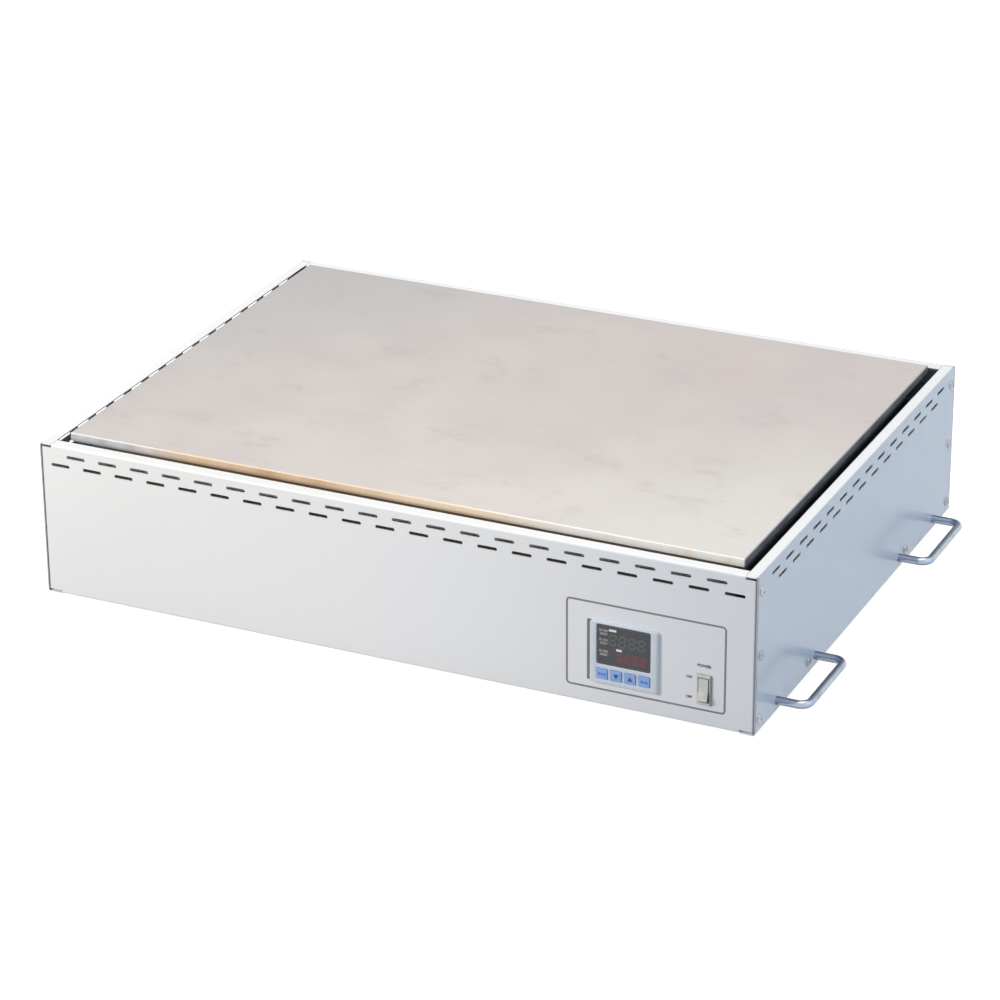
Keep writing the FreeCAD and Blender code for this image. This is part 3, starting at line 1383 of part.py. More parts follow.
def terminal_block():
    """A terminal block on the bottom plate with a groove for each way."""
    body = new_body("terminal_block", "block_x", "block_y", BASE_TOP)
    base = new_sketch(body, "XY_Plane")
    block_outline(base, "0", "0", "block_length", "block_width")
    for end in ("+", "-"):
        disc(base, f"{end}(block_length / 2 - block_ear)", "0", "small_shank + hole_play")
    pad(body, base, "block_height")
    pitch = "((block_length - 4 * block_ear) / block_grooves)"
    groove = new_sketch(body, "XZ_Plane")
    first = f"(-(block_grooves - 1) * {pitch} / 2)"
    rectangle(
        groove,
        f"{first} - block_groove / 2",
        "block_height / 2",
        f"{first} + block_groove / 2",
        "block_height + seat_play",
    )
    DOC.recompute()
    way = cut(body, groove)
    repeat(body, way, groove, "H_Axis", pitch, "block_grooves")
    kept(body)
    master = screw("block_screw", "small_head", "small_rise", "small_shank", "(block_height + sheet)")
    places = []
    for end in ("+", "-"):
        x = f"block_x {end} (block_length / 2 - block_ear)"
        places.append((x, "block_y", f"{BASE_TOP} + block_height", UPRIGHT))
    copies("terminal_block_screws", master, places)
    earth = screw(
        "earth_stud", "foot_screw_head", "foot_screw_rise", "foot_screw_shank", "(sheet + earth_length)"
    )
    copies("earth_screw", earth, [("earth_x", "earth_y", BASE_UNDER, TO_FLOOR)])


# Cable gland, through the rear panel along +Y


def cable_gland():
    """The gland's body with its collar, its outer cap and its lock nut inside the casing."""
    seat = PANEL_REAR
    body = new_body("cable_gland", "gland_x", seat, GLAND_Z, TO_BACK)
    collar = new_sketch(body, "XY_Plane")
    hexagon(collar, "gland_collar")
    pad(body, collar, "gland_collar_length")
    thread = new_sketch(body, "XY_Plane", "-(sheet + gland_inside)")
    disc(thread, "0", "0", "gland_thread")
    pad(body, thread, "sheet + gland_inside + gland_collar_length + gland_outside")
    bore = new_sketch(body, "XY_Plane")
    disc(bore, "0", "0", "gland_bore")
    DOC.recompute()
    cut(body, bore)
    kept(body)

    inner = "gland_thread + hole_play"
    depth = "(gland_outside + seat_play)"
    cap = turned(
        "gland_cap",
        (
            (inner, "0"),
            ("0.95 * gland_collar", "0"),
            ("0.95 * gland_collar", "0.6 * gland_cap_length"),
            ("0.7 * gland_collar", "gland_cap_length"),
            ("gland_cap_mouth", "gland_cap_length"),
            ("gland_cap_mouth", depth),
            (inner, depth),
        ),
        "gland_x",
        f"{seat} + gland_collar_length",
        GLAND_Z,
        TO_BACK,
    )
    kept(cap)

    nut = new_body("gland_lock_nut", "gland_x", f"{seat} - sheet", GLAND_Z, TO_FRONT)
    sketch = new_sketch(nut, "XY_Plane")
    hexagon(sketch, "gland_collar")
    disc(sketch, "0", "0", inner)
    pad(nut, sketch, "gland_nut_length")
    kept(nut)


def check_model():
    """Stops before anything is written if any object failed or any cut took nothing away."""
    for thing in DOC.Objects:
        faults = [state for state in thing.State if state in ("Invalid", "Error")]
        if faults:
            raise RuntimeError(f"{thing.Label} is {faults}")
    for before, feature in CUTS:
        if feature.Shape.Volume > before.Shape.Volume - 0.001:
            raise RuntimeError(f"{feature.Label} cuts nothing")
    for piece in PIECES:
        shape = piece.Shape
        if shape.isNull() or not shape.isValid() or not shape.Solids:
            raise RuntimeError(f"{piece.Label} has no valid solid")


def write_pieces():
    """Writes each piece to the file named after its node."""
    os.makedirs("parts", exist_ok=True)
    for piece in PIECES:
        piece.Shape.exportStep(os.path.join("parts", piece.Label + ".step"))


fill_sheet()
front_panel()
rear_panel()
side_panel("left_side_panel", "-casing_width / 2", HALF_TURN)
side_panel("right_side_panel", "casing_width / 2", UPRIGHT)
bottom_plate()
casing_screws()
handles()
feet()
heating_plate()
heating_elements()
clamp_bars()
insulation_board()
heat_shield_tray()
support_posts()
temperature_sensor()
overheat_cutout()
controller_bezel()
display_window()
display_board()
controller_case()
controller_mounting_frame()
keys()
switch_housing()
switch_rocker()
switch_terminals()
relay_heat_sink()
solid_state_relay()
terminal_block()
cable_gland()
DOC.recompute()
check_model()
write_pieces()
print(len(PIECES), "pieces written")
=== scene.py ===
"""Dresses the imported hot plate: camera, light, materials and the finely made pieces. Metres."""

import json
import math

import bmesh
import bpy
from mathutils import Matrix, Vector


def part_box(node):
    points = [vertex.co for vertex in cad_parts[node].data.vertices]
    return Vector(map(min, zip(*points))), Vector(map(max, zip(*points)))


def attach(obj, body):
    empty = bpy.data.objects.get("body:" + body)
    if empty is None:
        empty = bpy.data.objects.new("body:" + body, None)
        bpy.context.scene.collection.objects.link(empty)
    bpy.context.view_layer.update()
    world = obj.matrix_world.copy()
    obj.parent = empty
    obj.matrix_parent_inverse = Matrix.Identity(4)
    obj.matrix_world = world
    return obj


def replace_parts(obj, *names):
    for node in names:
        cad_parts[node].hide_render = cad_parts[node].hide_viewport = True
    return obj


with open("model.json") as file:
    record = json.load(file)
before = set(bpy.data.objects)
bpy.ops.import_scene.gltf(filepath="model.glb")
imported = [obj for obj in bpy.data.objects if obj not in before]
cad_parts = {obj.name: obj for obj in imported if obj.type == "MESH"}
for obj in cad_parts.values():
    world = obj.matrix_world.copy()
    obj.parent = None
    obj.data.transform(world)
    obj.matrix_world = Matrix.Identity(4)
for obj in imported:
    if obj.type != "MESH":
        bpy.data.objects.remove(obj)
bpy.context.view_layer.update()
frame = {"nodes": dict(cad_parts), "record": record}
MM = 0.001

# Places that the frame gives
SIDE_LOW, SIDE_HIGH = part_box("right_side_panel")
FRONT, BACK = SIDE_LOW.y, SIDE_HIGH.y
CASING_LOW, CASING_TOP = SIDE_LOW.z, SIDE_HIGH.z
CASING_RIGHT = SIDE_HIGH.x
PLATE_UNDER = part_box("heating_plate")[0].z
SWITCH_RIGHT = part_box("switch_housing")[1].x
BEZEL_LOW, BEZEL_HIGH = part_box("controller_bezel")
WINDOW_LOW, WINDOW_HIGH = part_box("display_window")
KEY_NAMES = ("menu", "down", "up", "shift")

# Camera
CAMERA_AZIMUTH = math.radians(25.11)
CAMERA_ELEVATION = math.radians(24.40)
CAMERA_ROLL = math.radians(-0.41)
CAMERA_DISTANCE = 3.692
CAMERA_TARGET = Vector((0.0152, -0.0510, 0.0899))
FOCAL_PIXELS = 3777
IMAGE_PIXELS = 1000
SENSOR_MM = 36

# Printed and moulded details of the front
PRINT_THICKNESS = 0.05 * MM
LINE_WIDTH = 1.9 * MM
LINE_LEFT, LINE_RIGHT = 184.4 * MM, 340.2 * MM
LINE_LOW, LINE_HIGH = 16.3 * MM, 103.1 * MM
LINE_CORNER = 3.2 * MM
LETTERING_WEIGHT = 0.05
WINDOW_LEDGE = 0.85 * MM
# Painted shadow: a dark strip that shows beside the bezel's left side
SHADOW_STRIP_SHOWS = 4.0 * MM
SHADOW_STRIP_THICKNESS = 0.3 * MM
KEY_GAP = 0.3 * MM
KEY_RIM = 0.6 * MM


# Materials


class Look:
    """A node material: a Principled shader and the textures that feed it."""

    def __init__(self, name, **numbers):
        self.material = bpy.data.materials.new(name)
        self.material.use_nodes = True
        self.tree = self.material.node_tree
        self.shader = self.tree.nodes["Principled BSDF"]
        for socket, value in numbers.items():
            self.shader.inputs[socket.replace("_", " ")].default_value = value
        self.place = self.tree.nodes.new("ShaderNodeTexCoord").outputs["Object"]

    def node(self, kind, inputs=(), **fields):
        """A node with its fields set and its inputs linked or set, by name or number."""
        made = self.tree.nodes.new("ShaderNode" + kind)
        for field, value in fields.items():
            setattr(made, field, value)
        for socket, source in dict(inputs).items():
            if isinstance(source, bpy.types.NodeSocket):
                self.tree.links.new(source, made.inputs[socket])
            else:
                made.inputs[socket].default_value = source
        return made

    def noise(self, scale, detail=3.0, stretch=(1, 1, 1), roughness=0.5):
        """Noise about a half, its grain 1/scale metres, stretched along an axis by less than 1."""
        place = self.node("Mapping", {"Vector": self.place, "Scale": stretch}).outputs["Vector"]
        inputs = {"Vector": place, "Scale": scale, "Detail": detail, "Roughness": roughness}
        return self.node("TexNoise", inputs).outputs["Fac"]

    def cells(self, scale):
        """A different grey for each cell of a crystal pattern."""
        return self.node("TexVoronoi", {"Vector": self.place, "Scale": scale}).outputs["Color"]

    def ramp(self, source, *stops):
        """A colour ramp through (place, colour) stops."""
        made = self.node("ValToRGB", {"Fac": source})
        elements = made.color_ramp.elements
        while len(elements) < len(stops):
            elements.new(1.0)
        for element, (place, colour) in zip(elements, stops):
            element.position = place
            element.color = (*colour, 1)
        return made.outputs["Color"]

    def between(self, source, low, high):
        """0 at low, 1 at high and smooth between them."""
        inputs = {"Value": source, "From Min": low, "From Max": high}
        made = self.node("MapRange", inputs, interpolation_type="SMOOTHSTEP", clamp=True)
        return made.outputs["Result"]

    def size(self, source):
        """How far a value is from zero."""
        return self.node("Math", {0: source}, operation="ABSOLUTE").outputs[0]

    def times(self, first, *others):
        """The product of values."""
        for other in others:
            first = self.node("Math", {0: first, 1: other}, operation="MULTIPLY").outputs[0]
        return first

    def toward(self, base, colour, *shares):
        """The base mixed with a colour by the product of the shares."""
        return self.mix(self.times(*shares), base, colour)

    def mix(self, factor, first, second, blend="MIX"):
        """The first colour at factor 0, the second at 1."""
        made = self.node("Mix", {0: factor}, data_type="RGBA", blend_type=blend)
        for number, source in ((6, first), (7, second)):
            if isinstance(source, bpy.types.NodeSocket):
                self.tree.links.new(source, made.inputs[number])
            else:
                made.inputs[number].default_value = (*source, 1)
        return made.outputs[2]

    def axes(self, vector):
        """The three parts of a vector."""
        return self.node("SeparateXYZ", {"Vector": vector}).outputs

    def normal(self):
        """The parts of the surface's own normal."""
        return self.axes(self.node("NewGeometry").outputs["Normal"])

    def colour(self, source):
        self.tree.links.new(source, self.shader.inputs["Base Color"])

    def rough(self, source, low, high):
        """Roughness from low to high as a 0 to 1 source goes."""
        inputs = {"Value": source, "From Min": 0.3, "From Max": 0.7, "To Min": low, "To Max": high}
        made = self.node("MapRange", inputs, clamp=True)
        self.tree.links.new(made.outputs["Result"], self.shader.inputs["Roughness"])

    def bump(self, height, strength, distance):
        inputs = {"Height": height, "Strength": strength, "Distance": distance}
        made = self.node("Bump", inputs)
        self.tree.links.new(made.outputs["Normal"], self.shader.inputs["Normal"])


def painted_casing():
    """Semi-gloss off-white enamel, with painted light on its front and right faces and painted
    shade on its bends, rear inner walls, rear flange edge and corner seams.
    """
    look = Look("painted_casing", Coat_Weight=0.4, Coat_Roughness=0.18)
    x, y, z = look.axes(look.place)
    side, along, up = look.normal()
    paint = look.ramp(look.noise(4, 3), (0.35, (0.815, 0.825, 0.835)), (0.65, (0.85, 0.85, 0.85)))

    # Painted light on the front and right faces: the front paler in the middle and bluer towards
    # its right end, the right face blue and paler towards the rear. The front flange darker
    # towards the left.
    front = look.between(along, -0.5, -0.8)
    paint = look.toward(paint, (0.88, 0.885, 0.90), front, look.between(x, -0.30, 0.0))
    paint = look.toward(paint, (0.80, 0.825, 0.875), front, look.between(x, 0.05, 0.37))
    depth = look.between(y, -0.25, 0.27)
    right = look.ramp(depth, (0, (0.77, 0.825, 0.90)), (1, (0.85, 0.90, 0.975)))
    paint = look.toward(paint, right, look.between(side, 0.5, 0.8))
    flange = look.times(look.between(up, 0.6, 0.9), look.between(y, -0.245, -0.25))
    paint = look.toward(paint, (0.77, 0.77, 0.765), flange, look.between(x, 0.25, -0.25))

    # Painted shade on the bends, darker as they turn away from the light
    bend = look.times(look.between(up, 0.4, 0.7), look.between(up, 0.998, 0.97))
    to_side = look.between(look.size(side), 0.05, 0.4)
    paint = look.toward(paint, (0.45, 0.45, 0.46), bend, to_side, 0.5)
    paint = look.toward(paint, (0.30, 0.30, 0.31), bend, look.between(along, 0.04, 0.25), 0.8)

    # Painted shade on the inner walls at the rear, on the rear flange's outer edge and in the
    # corner seams
    inner_back = look.between(y, BACK - 1.0 * MM, BACK - 1.4 * MM)
    inner_side = look.between(look.size(x), CASING_RIGHT - 1.0 * MM, CASING_RIGHT - 1.4 * MM)
    below = look.between(z, CASING_TOP - 0.6 * MM, CASING_TOP - 1.0 * MM)
    inside = look.times(look.between(y, 0.20, 0.23), inner_back, inner_side, below)
    paint = look.toward(paint, (0.06, 0.06, 0.065), inside, 0.85)
    # Painted shade along the rear flange's outer edge
    rear_edge = look.between(y, BACK - 3.6 * MM, BACK - 2.4 * MM)
    paint = look.toward(paint, (0.42, 0.42, 0.43), rear_edge, look.between(up, 0.5, 0.9), 0.6)
    # Painted shade in the corner seams
    seam_x = look.between(look.size(x), CASING_RIGHT - 3.6 * MM, CASING_RIGHT - 2.0 * MM)
    seam_y = look.between(look.size(y), BACK - 2.8 * MM, BACK - 1.0 * MM)
    look.colour(look.toward(paint, (0.10, 0.10, 0.12), seam_x, seam_y, 0.55))
    look.rough(look.noise(60, 3), 0.30, 0.40)
    look.bump(look.noise(700, 2), 0.06, 0.0002)
    return look.material


def plate_top(look, x, y, drift, grain):
    """The plate's mottled upper face, with painted light: darker at the rear left, paler at the
    front right.
    """
    top = look.ramp(drift, (0.32, (0.533, 0.485, 0.468)), (0.68, (0.575, 0.538, 0.510)))
    # Painted light: darker towards the rear left, paler towards the front right
    inputs = {0: look.place, 1: (0.75, -0.66, 0)}
    across = look.node("VectorMath", inputs, operation="DOT_PRODUCT").outputs["Value"]
    top = look.toward(top, (0.455, 0.445, 0.44), look.between(across, -0.05, -0.42), 0.85)
    top = look.toward(top, (0.655, 0.635, 0.60), look.between(across, 0.08, 0.42), 0.85)
    pale = look.times(look.between(y, -0.05, -0.24), look.between(x, -0.30, 0.0))
    top = look.toward(top, (0.66, 0.62, 0.58), pale, 0.4)
    pink = look.times(look.between(y, -0.06, 0.12), look.between(x, -0.20, 0.15))
    top = look.toward(top, (0.555, 0.488, 0.478), pink, 0.6)
    smudge = look.between(look.noise(24, 5, (0.6, 1, 1), 0.7), 0.55, 0.74)
    top = look.toward(top, (0.42, 0.37, 0.365), smudge, 0.42)
    stain = look.between(look.noise(10, 4, (0.7, 1, 1), 0.65), 0.58, 0.70)
    top = look.toward(top, (0.42, 0.37, 0.37), stain, 0.22)
    return look.toward(top, (0.41, 0.39, 0.38), grain, 0.10)


def plate_front(look, x, z):
    """The plate's front edge: bare at the left, heat-tinted in the middle, cream to the right,
    with painted shade along its lower part.
    """
    # Painted shade along the lower part of the edge
    low = look.between(z, PLATE_UNDER + 3.2 * MM, PLATE_UNDER + 0.8 * MM)
    tint = look.ramp(
        look.noise(22, 4, (1, 1, 0.4)),
        (0.30, (0.62, 0.42, 0.25)),
        (0.50, (0.80, 0.59, 0.40)),
        (0.70, (0.88, 0.71, 0.52)),
    )
    tint = look.toward(tint, (0.98, 0.82, 0.62), look.between(x, -0.10, 0.03))
    tint = look.toward(tint, (0.34, 0.21, 0.13), low, 0.55)
    silver = look.ramp(look.noise(40, 3), (0.35, (0.50, 0.51, 0.54)), (0.65, (0.72, 0.73, 0.75)))
    silver = look.toward(silver, (0.26, 0.26, 0.29), low, 0.5)
    streaks = look.noise(35, 4, (1, 1, 0.5))
    cream = look.ramp(streaks, (0.34, (0.93, 0.84, 0.72)), (0.50, (0.98, 0.97, 0.95)))
    cream = look.toward(cream, (0.55, 0.50, 0.46), low, 0.25)
    front = look.toward(silver, tint, look.between(x, -0.30, -0.20))
    return look.toward(front, cream, look.between(x, 0.06, 0.20))


def plate_rim(look, x, side, along):
    """The plate's rounded upper edge, which follows the colour of the face below it, with a
    painted highlight along the front at the right and on the left and rear ends, and painted shade
    on the right end.
    """
    tinted = look.times(look.between(x, -0.30, -0.20), look.between(x, 0.26, 0.12))
    front = look.mix(tinted, (0.66, 0.67, 0.68), (0.74, 0.58, 0.42))
    # Painted highlight along the front of the rim at the right
    front = look.toward(front, (0.84, 0.81, 0.76), look.between(x, 0.0, 0.14))
    # Painted highlight on the left and rear ends, painted shade on the right end
    ends = look.mix(look.between(side, 0.3, 0.6), (0.78, 0.77, 0.76), (0.48, 0.47, 0.46))
    return look.toward(ends, front, look.between(along, -0.3, -0.6))


def plate_steel():
    """Ground plate, faintly mottled on top and heat-tinted along its front edge, with painted
    light on its top and on its rounded rim.
    """
    look = Look("plate_steel", Metallic=0.35)
    x, y, z = look.axes(look.place)
    side, along, up = look.normal()
    drift = look.noise(11, 5, roughness=0.62)
    grain = look.noise(300, 3, (0.05, 1, 1))
    ends = look.ramp(look.noise(45, 4), (0.40, (0.16, 0.16, 0.168)), (0.62, (0.27, 0.27, 0.28)))
    ends = look.toward(ends, (0.30, 0.31, 0.33), look.between(look.noise(16, 3), 0.56, 0.66), 0.5)
    colour = look.toward(ends, plate_front(look, x, z), look.between(along, -0.5, -0.8))
    top = plate_top(look, x, y, drift, grain)
    colour = look.toward(colour, top, look.between(up, 0.6, 0.9))
    rim = look.times(look.between(up, 0.2, 0.5), look.between(up, 0.97, 0.85))
    look.colour(look.toward(colour, plate_rim(look, x, side, along), rim, 0.8))
    look.rough(drift, 0.48, 0.60)
    look.bump(grain, 0.10, 0.0002)
    return look.material


def metal(name, dark, pale, smooth, dull, grain=220, stretch=(1, 1, 1), depth=0.08):
    """Bare or plated metal between two greys, with handling marks in its gloss."""
    look = Look(name, Metallic=1.0)
    look.colour(look.ramp(look.noise(grain * 0.2, 3, stretch), (0.3, dark), (0.7, pale)))
    look.rough(look.noise(grain, 4, stretch), smooth, dull)
    look.bump(look.noise(grain * 4, 2, stretch), depth, 0.0001)
    return look.material


def chrome():
    """Bright plating, with painted reflection: light and dark bands by how far the surface faces
    up.
    """
    look = Look("chrome_bar", Metallic=1.0)
    inputs = {"Value": look.normal()[2], "From Min": -1.0, "From Max": 1.0}
    # Painted reflection: a ramp of light and dark bands on the normal's height
    bands = look.ramp(
        look.node("MapRange", inputs).outputs["Result"],
        (0.00, (0.09, 0.09, 0.11)),
        (0.22, (0.17, 0.18, 0.22)),
        (0.45, (0.33, 0.38, 0.46)),
        (0.72, (0.42, 0.48, 0.58)),
        (0.86, (0.56, 0.62, 0.72)),
        (0.93, (0.28, 0.31, 0.38)),
        (1.00, (0.17, 0.18, 0.22)),
    )
    marks = look.noise(60, 4)
    look.colour(look.toward(bands, (0.12, 0.12, 0.15), look.between(marks, 0.5, 0.7), 0.3))
    look.rough(marks, 0.14, 0.26)
    return look.material


def dark_sheet():
    """Sheet blackened by heat, with painted light: lighter and browner on its front wall and paler
    high up on its right wall.
    """
    look = Look("dark_sheet", Metallic=0.6)
    height = look.axes(look.place)[2]
    normal = look.normal()
    side, along = normal[0], normal[1]
    soot = look.noise(45, 3)
    sheet = look.ramp(soot, (0.3, (0.018, 0.018, 0.019)), (0.7, (0.035, 0.034, 0.034)))
    # Painted light on the front wall, seen in the gap under the plate
    sheet = look.toward(sheet, (0.34, 0.27, 0.21), look.between(along, -0.5, -0.9))
    # Painted light fading downwards on the right wall, below the plate's edge
    high = look.between(height, 0.1420, 0.1475)
    look.colour(look.toward(sheet, (0.31, 0.315, 0.33), look.between(side, 0.5, 0.9), high))
    look.rough(look.noise(220, 4), 0.55, 0.70)
    return look.material


def zinc_sheet():
    """Zinc-coated sheet with its crystal pattern."""
    look = Look("zinc_sheet", Metallic=0.9)
    spangle = look.cells(120)
    look.colour(look.mix(0.18, (0.56, 0.57, 0.59), spangle, "OVERLAY"))
    look.rough(look.noise(80, 3), 0.38, 0.52)
    return look.material


def plastic(name, dark, pale, smooth, dull, grain, depth):
    """Moulded plastic with a fine grain and a slight drift of tone."""
    look = Look(name)
    look.colour(look.ramp(look.noise(50, 3), (0.3, dark), (0.7, pale)))
    look.rough(look.noise(180, 3), smooth, dull)
    look.bump(look.noise(grain, 2), depth, 0.0001)
    return look.material


def bezel_plastic():
    """Fine-textured pale blue-grey moulding, with painted light on its right flank that makes it
    paler.
    """
    look = Look("bezel_plastic")
    across = look.normal()[0]
    tone = look.ramp(look.noise(50, 3), (0.3, (0.66, 0.72, 0.80)), (0.7, (0.71, 0.77, 0.85)))
    # Painted light on the right flank
    look.colour(look.toward(tone, (0.97, 0.93, 0.90), look.between(across, 0.35, 0.8)))
    look.rough(look.noise(180, 3), 0.36, 0.46)
    look.bump(look.noise(1500, 2), 0.10, 0.0001)
    return look.material


def ivory():
    """Glossy ivory moulding, with painted shade on its flanks and on the right strip of the
    housing.
    """
    look = Look("ivory_plastic", Coat_Weight=0.2)
    x = look.axes(look.place)[0]
    along = look.normal()[1]
    tone = look.ramp(look.noise(160, 3), (0.35, (0.60, 0.60, 0.56)), (0.65, (0.74, 0.74, 0.70)))
    # Painted shade on the housing's right strip
    right = look.between(x, SWITCH_RIGHT - 2.05 * MM, SWITCH_RIGHT - 1.05 * MM)
    tone = look.toward(tone, (0.36, 0.35, 0.30), right, 0.85)
    # Painted shade on the flanks
    look.colour(look.toward(tone, (0.20, 0.17, 0.13), look.between(along, -0.75, -0.25), 0.8))
    look.rough(look.noise(180, 3), 0.26, 0.36)
    look.bump(look.noise(1200, 2), 0.04, 0.0001)
    return look.material


def display_window_look():
    """Smoked window, glossy."""
    look = Look("window_plastic", Coat_Weight=0.4, Coat_Roughness=0.08)
    tone = look.noise(90, 3)
    look.colour(look.ramp(tone, (0.3, (0.022, 0.022, 0.029)), (0.7, (0.035, 0.035, 0.044))))
    look.rough(tone, 0.22, 0.32)
    return look.material


def insulation_fibre():
    """White ceramic fibre board with matted fibres."""
    look = Look("insulation_fibre", Sheen_Weight=0.2)
    fibres = look.noise(500, 5, (0.15, 1, 1), 0.7)
    look.colour(look.ramp(fibres, (0.3, (0.62, 0.60, 0.56)), (0.7, (0.84, 0.82, 0.78))))
    look.rough(fibres, 0.85, 0.95)
    look.bump(fibres, 0.5, 0.0006)
    return look.material


def circuit_board():
    """Green solder resist over tracks."""
    look = Look("circuit_board")
    bricks = look.node("TexBrick", {"Vector": look.place, "Scale": 420.0}).outputs["Fac"]
    look.colour(look.mix(bricks, (0.02, 0.13, 0.06), (0.05, 0.24, 0.11)))
    look.rough(look.noise(120, 2), 0.30, 0.42)
    return look.material


LOOKS = {
    "painted_casing": painted_casing(),
    "plate_steel": plate_steel(),
    "chrome_bar": chrome(),
    "screw_steel": metal("screw_steel", (0.32, 0.30, 0.31), (0.50, 0.47, 0.49), 0.24, 0.38),
    "rubber_foot": plastic("rubber_foot", (0.012,) * 3, (0.022,) * 3, 0.75, 0.88, 900, 0.3),
    "bezel_plastic": bezel_plastic(),
    "window_plastic": display_window_look(),
    "key_plastic": plastic(
        "key_plastic", (0.25, 0.42, 0.82), (0.32, 0.48, 0.90), 0.40, 0.50, 1500, 0.10
    ),
    "ivory_plastic": ivory(),
    "black_plastic": plastic("black_plastic", (0.016,) * 3, (0.028,) * 3, 0.42, 0.56, 1100, 0.15),
    "circuit_board": circuit_board(),
    "zinc_sheet": zinc_sheet(),
    "element_steel": metal("element_steel", (0.10, 0.09, 0.085), (0.24, 0.22, 0.21), 0.45, 0.62),
    "insulation_fibre": insulation_fibre(),
    "dark_sheet": dark_sheet(),
    "heat_sink_metal": metal(
        "heat_sink_metal", (0.60, 0.61, 0.63), (0.70, 0.71, 0.73), 0.30, 0.44, 260, (1, 0.04, 1)
    ),
    "terminal_brass": metal("terminal_brass", (0.62, 0.46, 0.22), (0.74, 0.58, 0.30), 0.22, 0.36),
}


def ink(name, dark, pale):
    """A printed colour, satin and smooth."""
    return plastic(name, dark, pale, 0.45, 0.55, 900, 0.05)


def behind_window(name, dark, pale):
    """What shows in the display's window, a little glossy."""
    return plastic(name, dark, pale, 0.30, 0.40, 700, 0.03)


PRINT = ink("printed_ink", (0.06, 0.055, 0.06), (0.08, 0.075, 0.08))
LINE_INK = ink("line_ink", (0.21, 0.185, 0.195), (0.25, 0.225, 0.235))
KEY_INK = ink("key_ink", (0.045, 0.06, 0.09), (0.06, 0.08, 0.12))
FAINT_INK = ink("faint_key_ink", (0.10, 0.18, 0.42), (0.13, 0.22, 0.48))
MASK = behind_window("display_mask", (0.040, 0.043, 0.052), (0.056, 0.060, 0.070))
UNLIT = behind_window("unlit_segments", (0.085, 0.105, 0.10), (0.115, 0.14, 0.13))
DIM_RED = behind_window("dim_red_segments", (0.15, 0.045, 0.05), (0.19, 0.06, 0.065))
RED_FILTER = behind_window("red_filter", (0.072, 0.042, 0.048), (0.085, 0.050, 0.055))
LAMPS = plastic("lamp_lenses", (0.21, 0.205, 0.205), (0.34, 0.33, 0.33), 0.30, 0.45, 700, 0.05)
WHITE_BARS = plastic("white_bars", (0.82, 0.82, 0.80), (0.90, 0.90, 0.88), 0.35, 0.45, 700, 0.03)
# Painted shadow beside the bezel's left side
SHADOW_STRIP_LOOK = plastic("painted_shadow_strip", (0.16, 0.175, 0.20), (0.20, 0.215, 0.24), 0.60, 0.75, 900, 0.10)
KEY_INKS = {"menu": FAINT_INK, "shift": FAINT_INK, "up": KEY_INK, "down": KEY_INK}

for part in frame["record"]["subparts"]:
    mesh = frame["nodes"][part["node"]].data
    mesh.materials.clear()
    mesh.materials.append(LOOKS[part["material_slot"]])


# Ways to make pieces


def piece(name, mesh, slot, body="casing", look=None, smooth=None):
    """A new object from a mesh: its finish, taken from its slot's look unless one is given, and
    the body it rides on.
    """
    made = bpy.data.objects.new(name, mesh)
    bpy.context.scene.collection.objects.link(made)
    mesh.materials.clear()
    mesh.materials.append(look or LOOKS[slot])
    if smooth is not None:
        mesh.shade_smooth()
        mesh.set_sharp_from_angle(angle=math.radians(smooth))
    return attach(made, body)


def to_mesh(name, work):
    """A mesh from a finished bmesh."""
    bmesh.ops.recalc_face_normals(work, faces=work.faces)
    mesh = bpy.data.meshes.new(name)
    work.to_mesh(mesh)
    work.free()
    return mesh


def solids(node):
    """The lowest and highest corner of each separate solid of a CAD node."""
    work = bmesh.new()
    work.from_mesh(frame["nodes"][node].data)
    bmesh.ops.remove_doubles(work, verts=work.verts, dist=0.001 * MM)
    left, boxes = set(work.verts), []
    while left:
        found = [left.pop()]
        for vertex in found:
            near = {edge.other_vert(vertex) for edge in vertex.link_edges} & left
            left -= near
            found += near
        low = Vector(min(v.co[k] for v in found) for k in range(3))
        high = Vector(max(v.co[k] for v in found) for k in range(3))
        boxes.append((low, high))
    work.free()
    return boxes


def round_rectangle(left, low, right, high, corner, steps=5):
    """A rectangle's outline with round corners, anticlockwise from its low right."""
    points = []
    centres = ((right - corner, low + corner), (right - corner, high - corner))
    centres += ((left + corner, high - corner), (left + corner, low + corner))
    for quarter, (x, z) in enumerate(centres):
        for step in range(steps + 1):
            angle = math.radians(90 * (quarter - 1 + step / steps))
            points.append((x + corner * math.cos(angle), z + corner * math.sin(angle)))
    return points


def prisms(work, loops, front, back):
    """Closed prisms between two depths, each from its own outline in x and z."""
    for loop in loops:
        near = [work.verts.new((x, front, z)) for x, z in loop]
        far = [work.verts.new((x, back, z)) for x, z in loop]
        work.faces.new(near)
        work.faces.new(reversed(far))
        for k in range(len(loop)):
            after = (k + 1) % len(loop)
            work.faces.new((near[k], far[k], far[after], near[after]))


def flat_shapes(name, loops, face, slot, body="casing", look=None, thickness=PRINT_THICKNESS):
    """Thin raised shapes on a face that looks to the front."""
    work = bmesh.new()
    prisms(work, loops, face - thickness, face)
    return piece(name, to_mesh(name, work), slot, body, look)


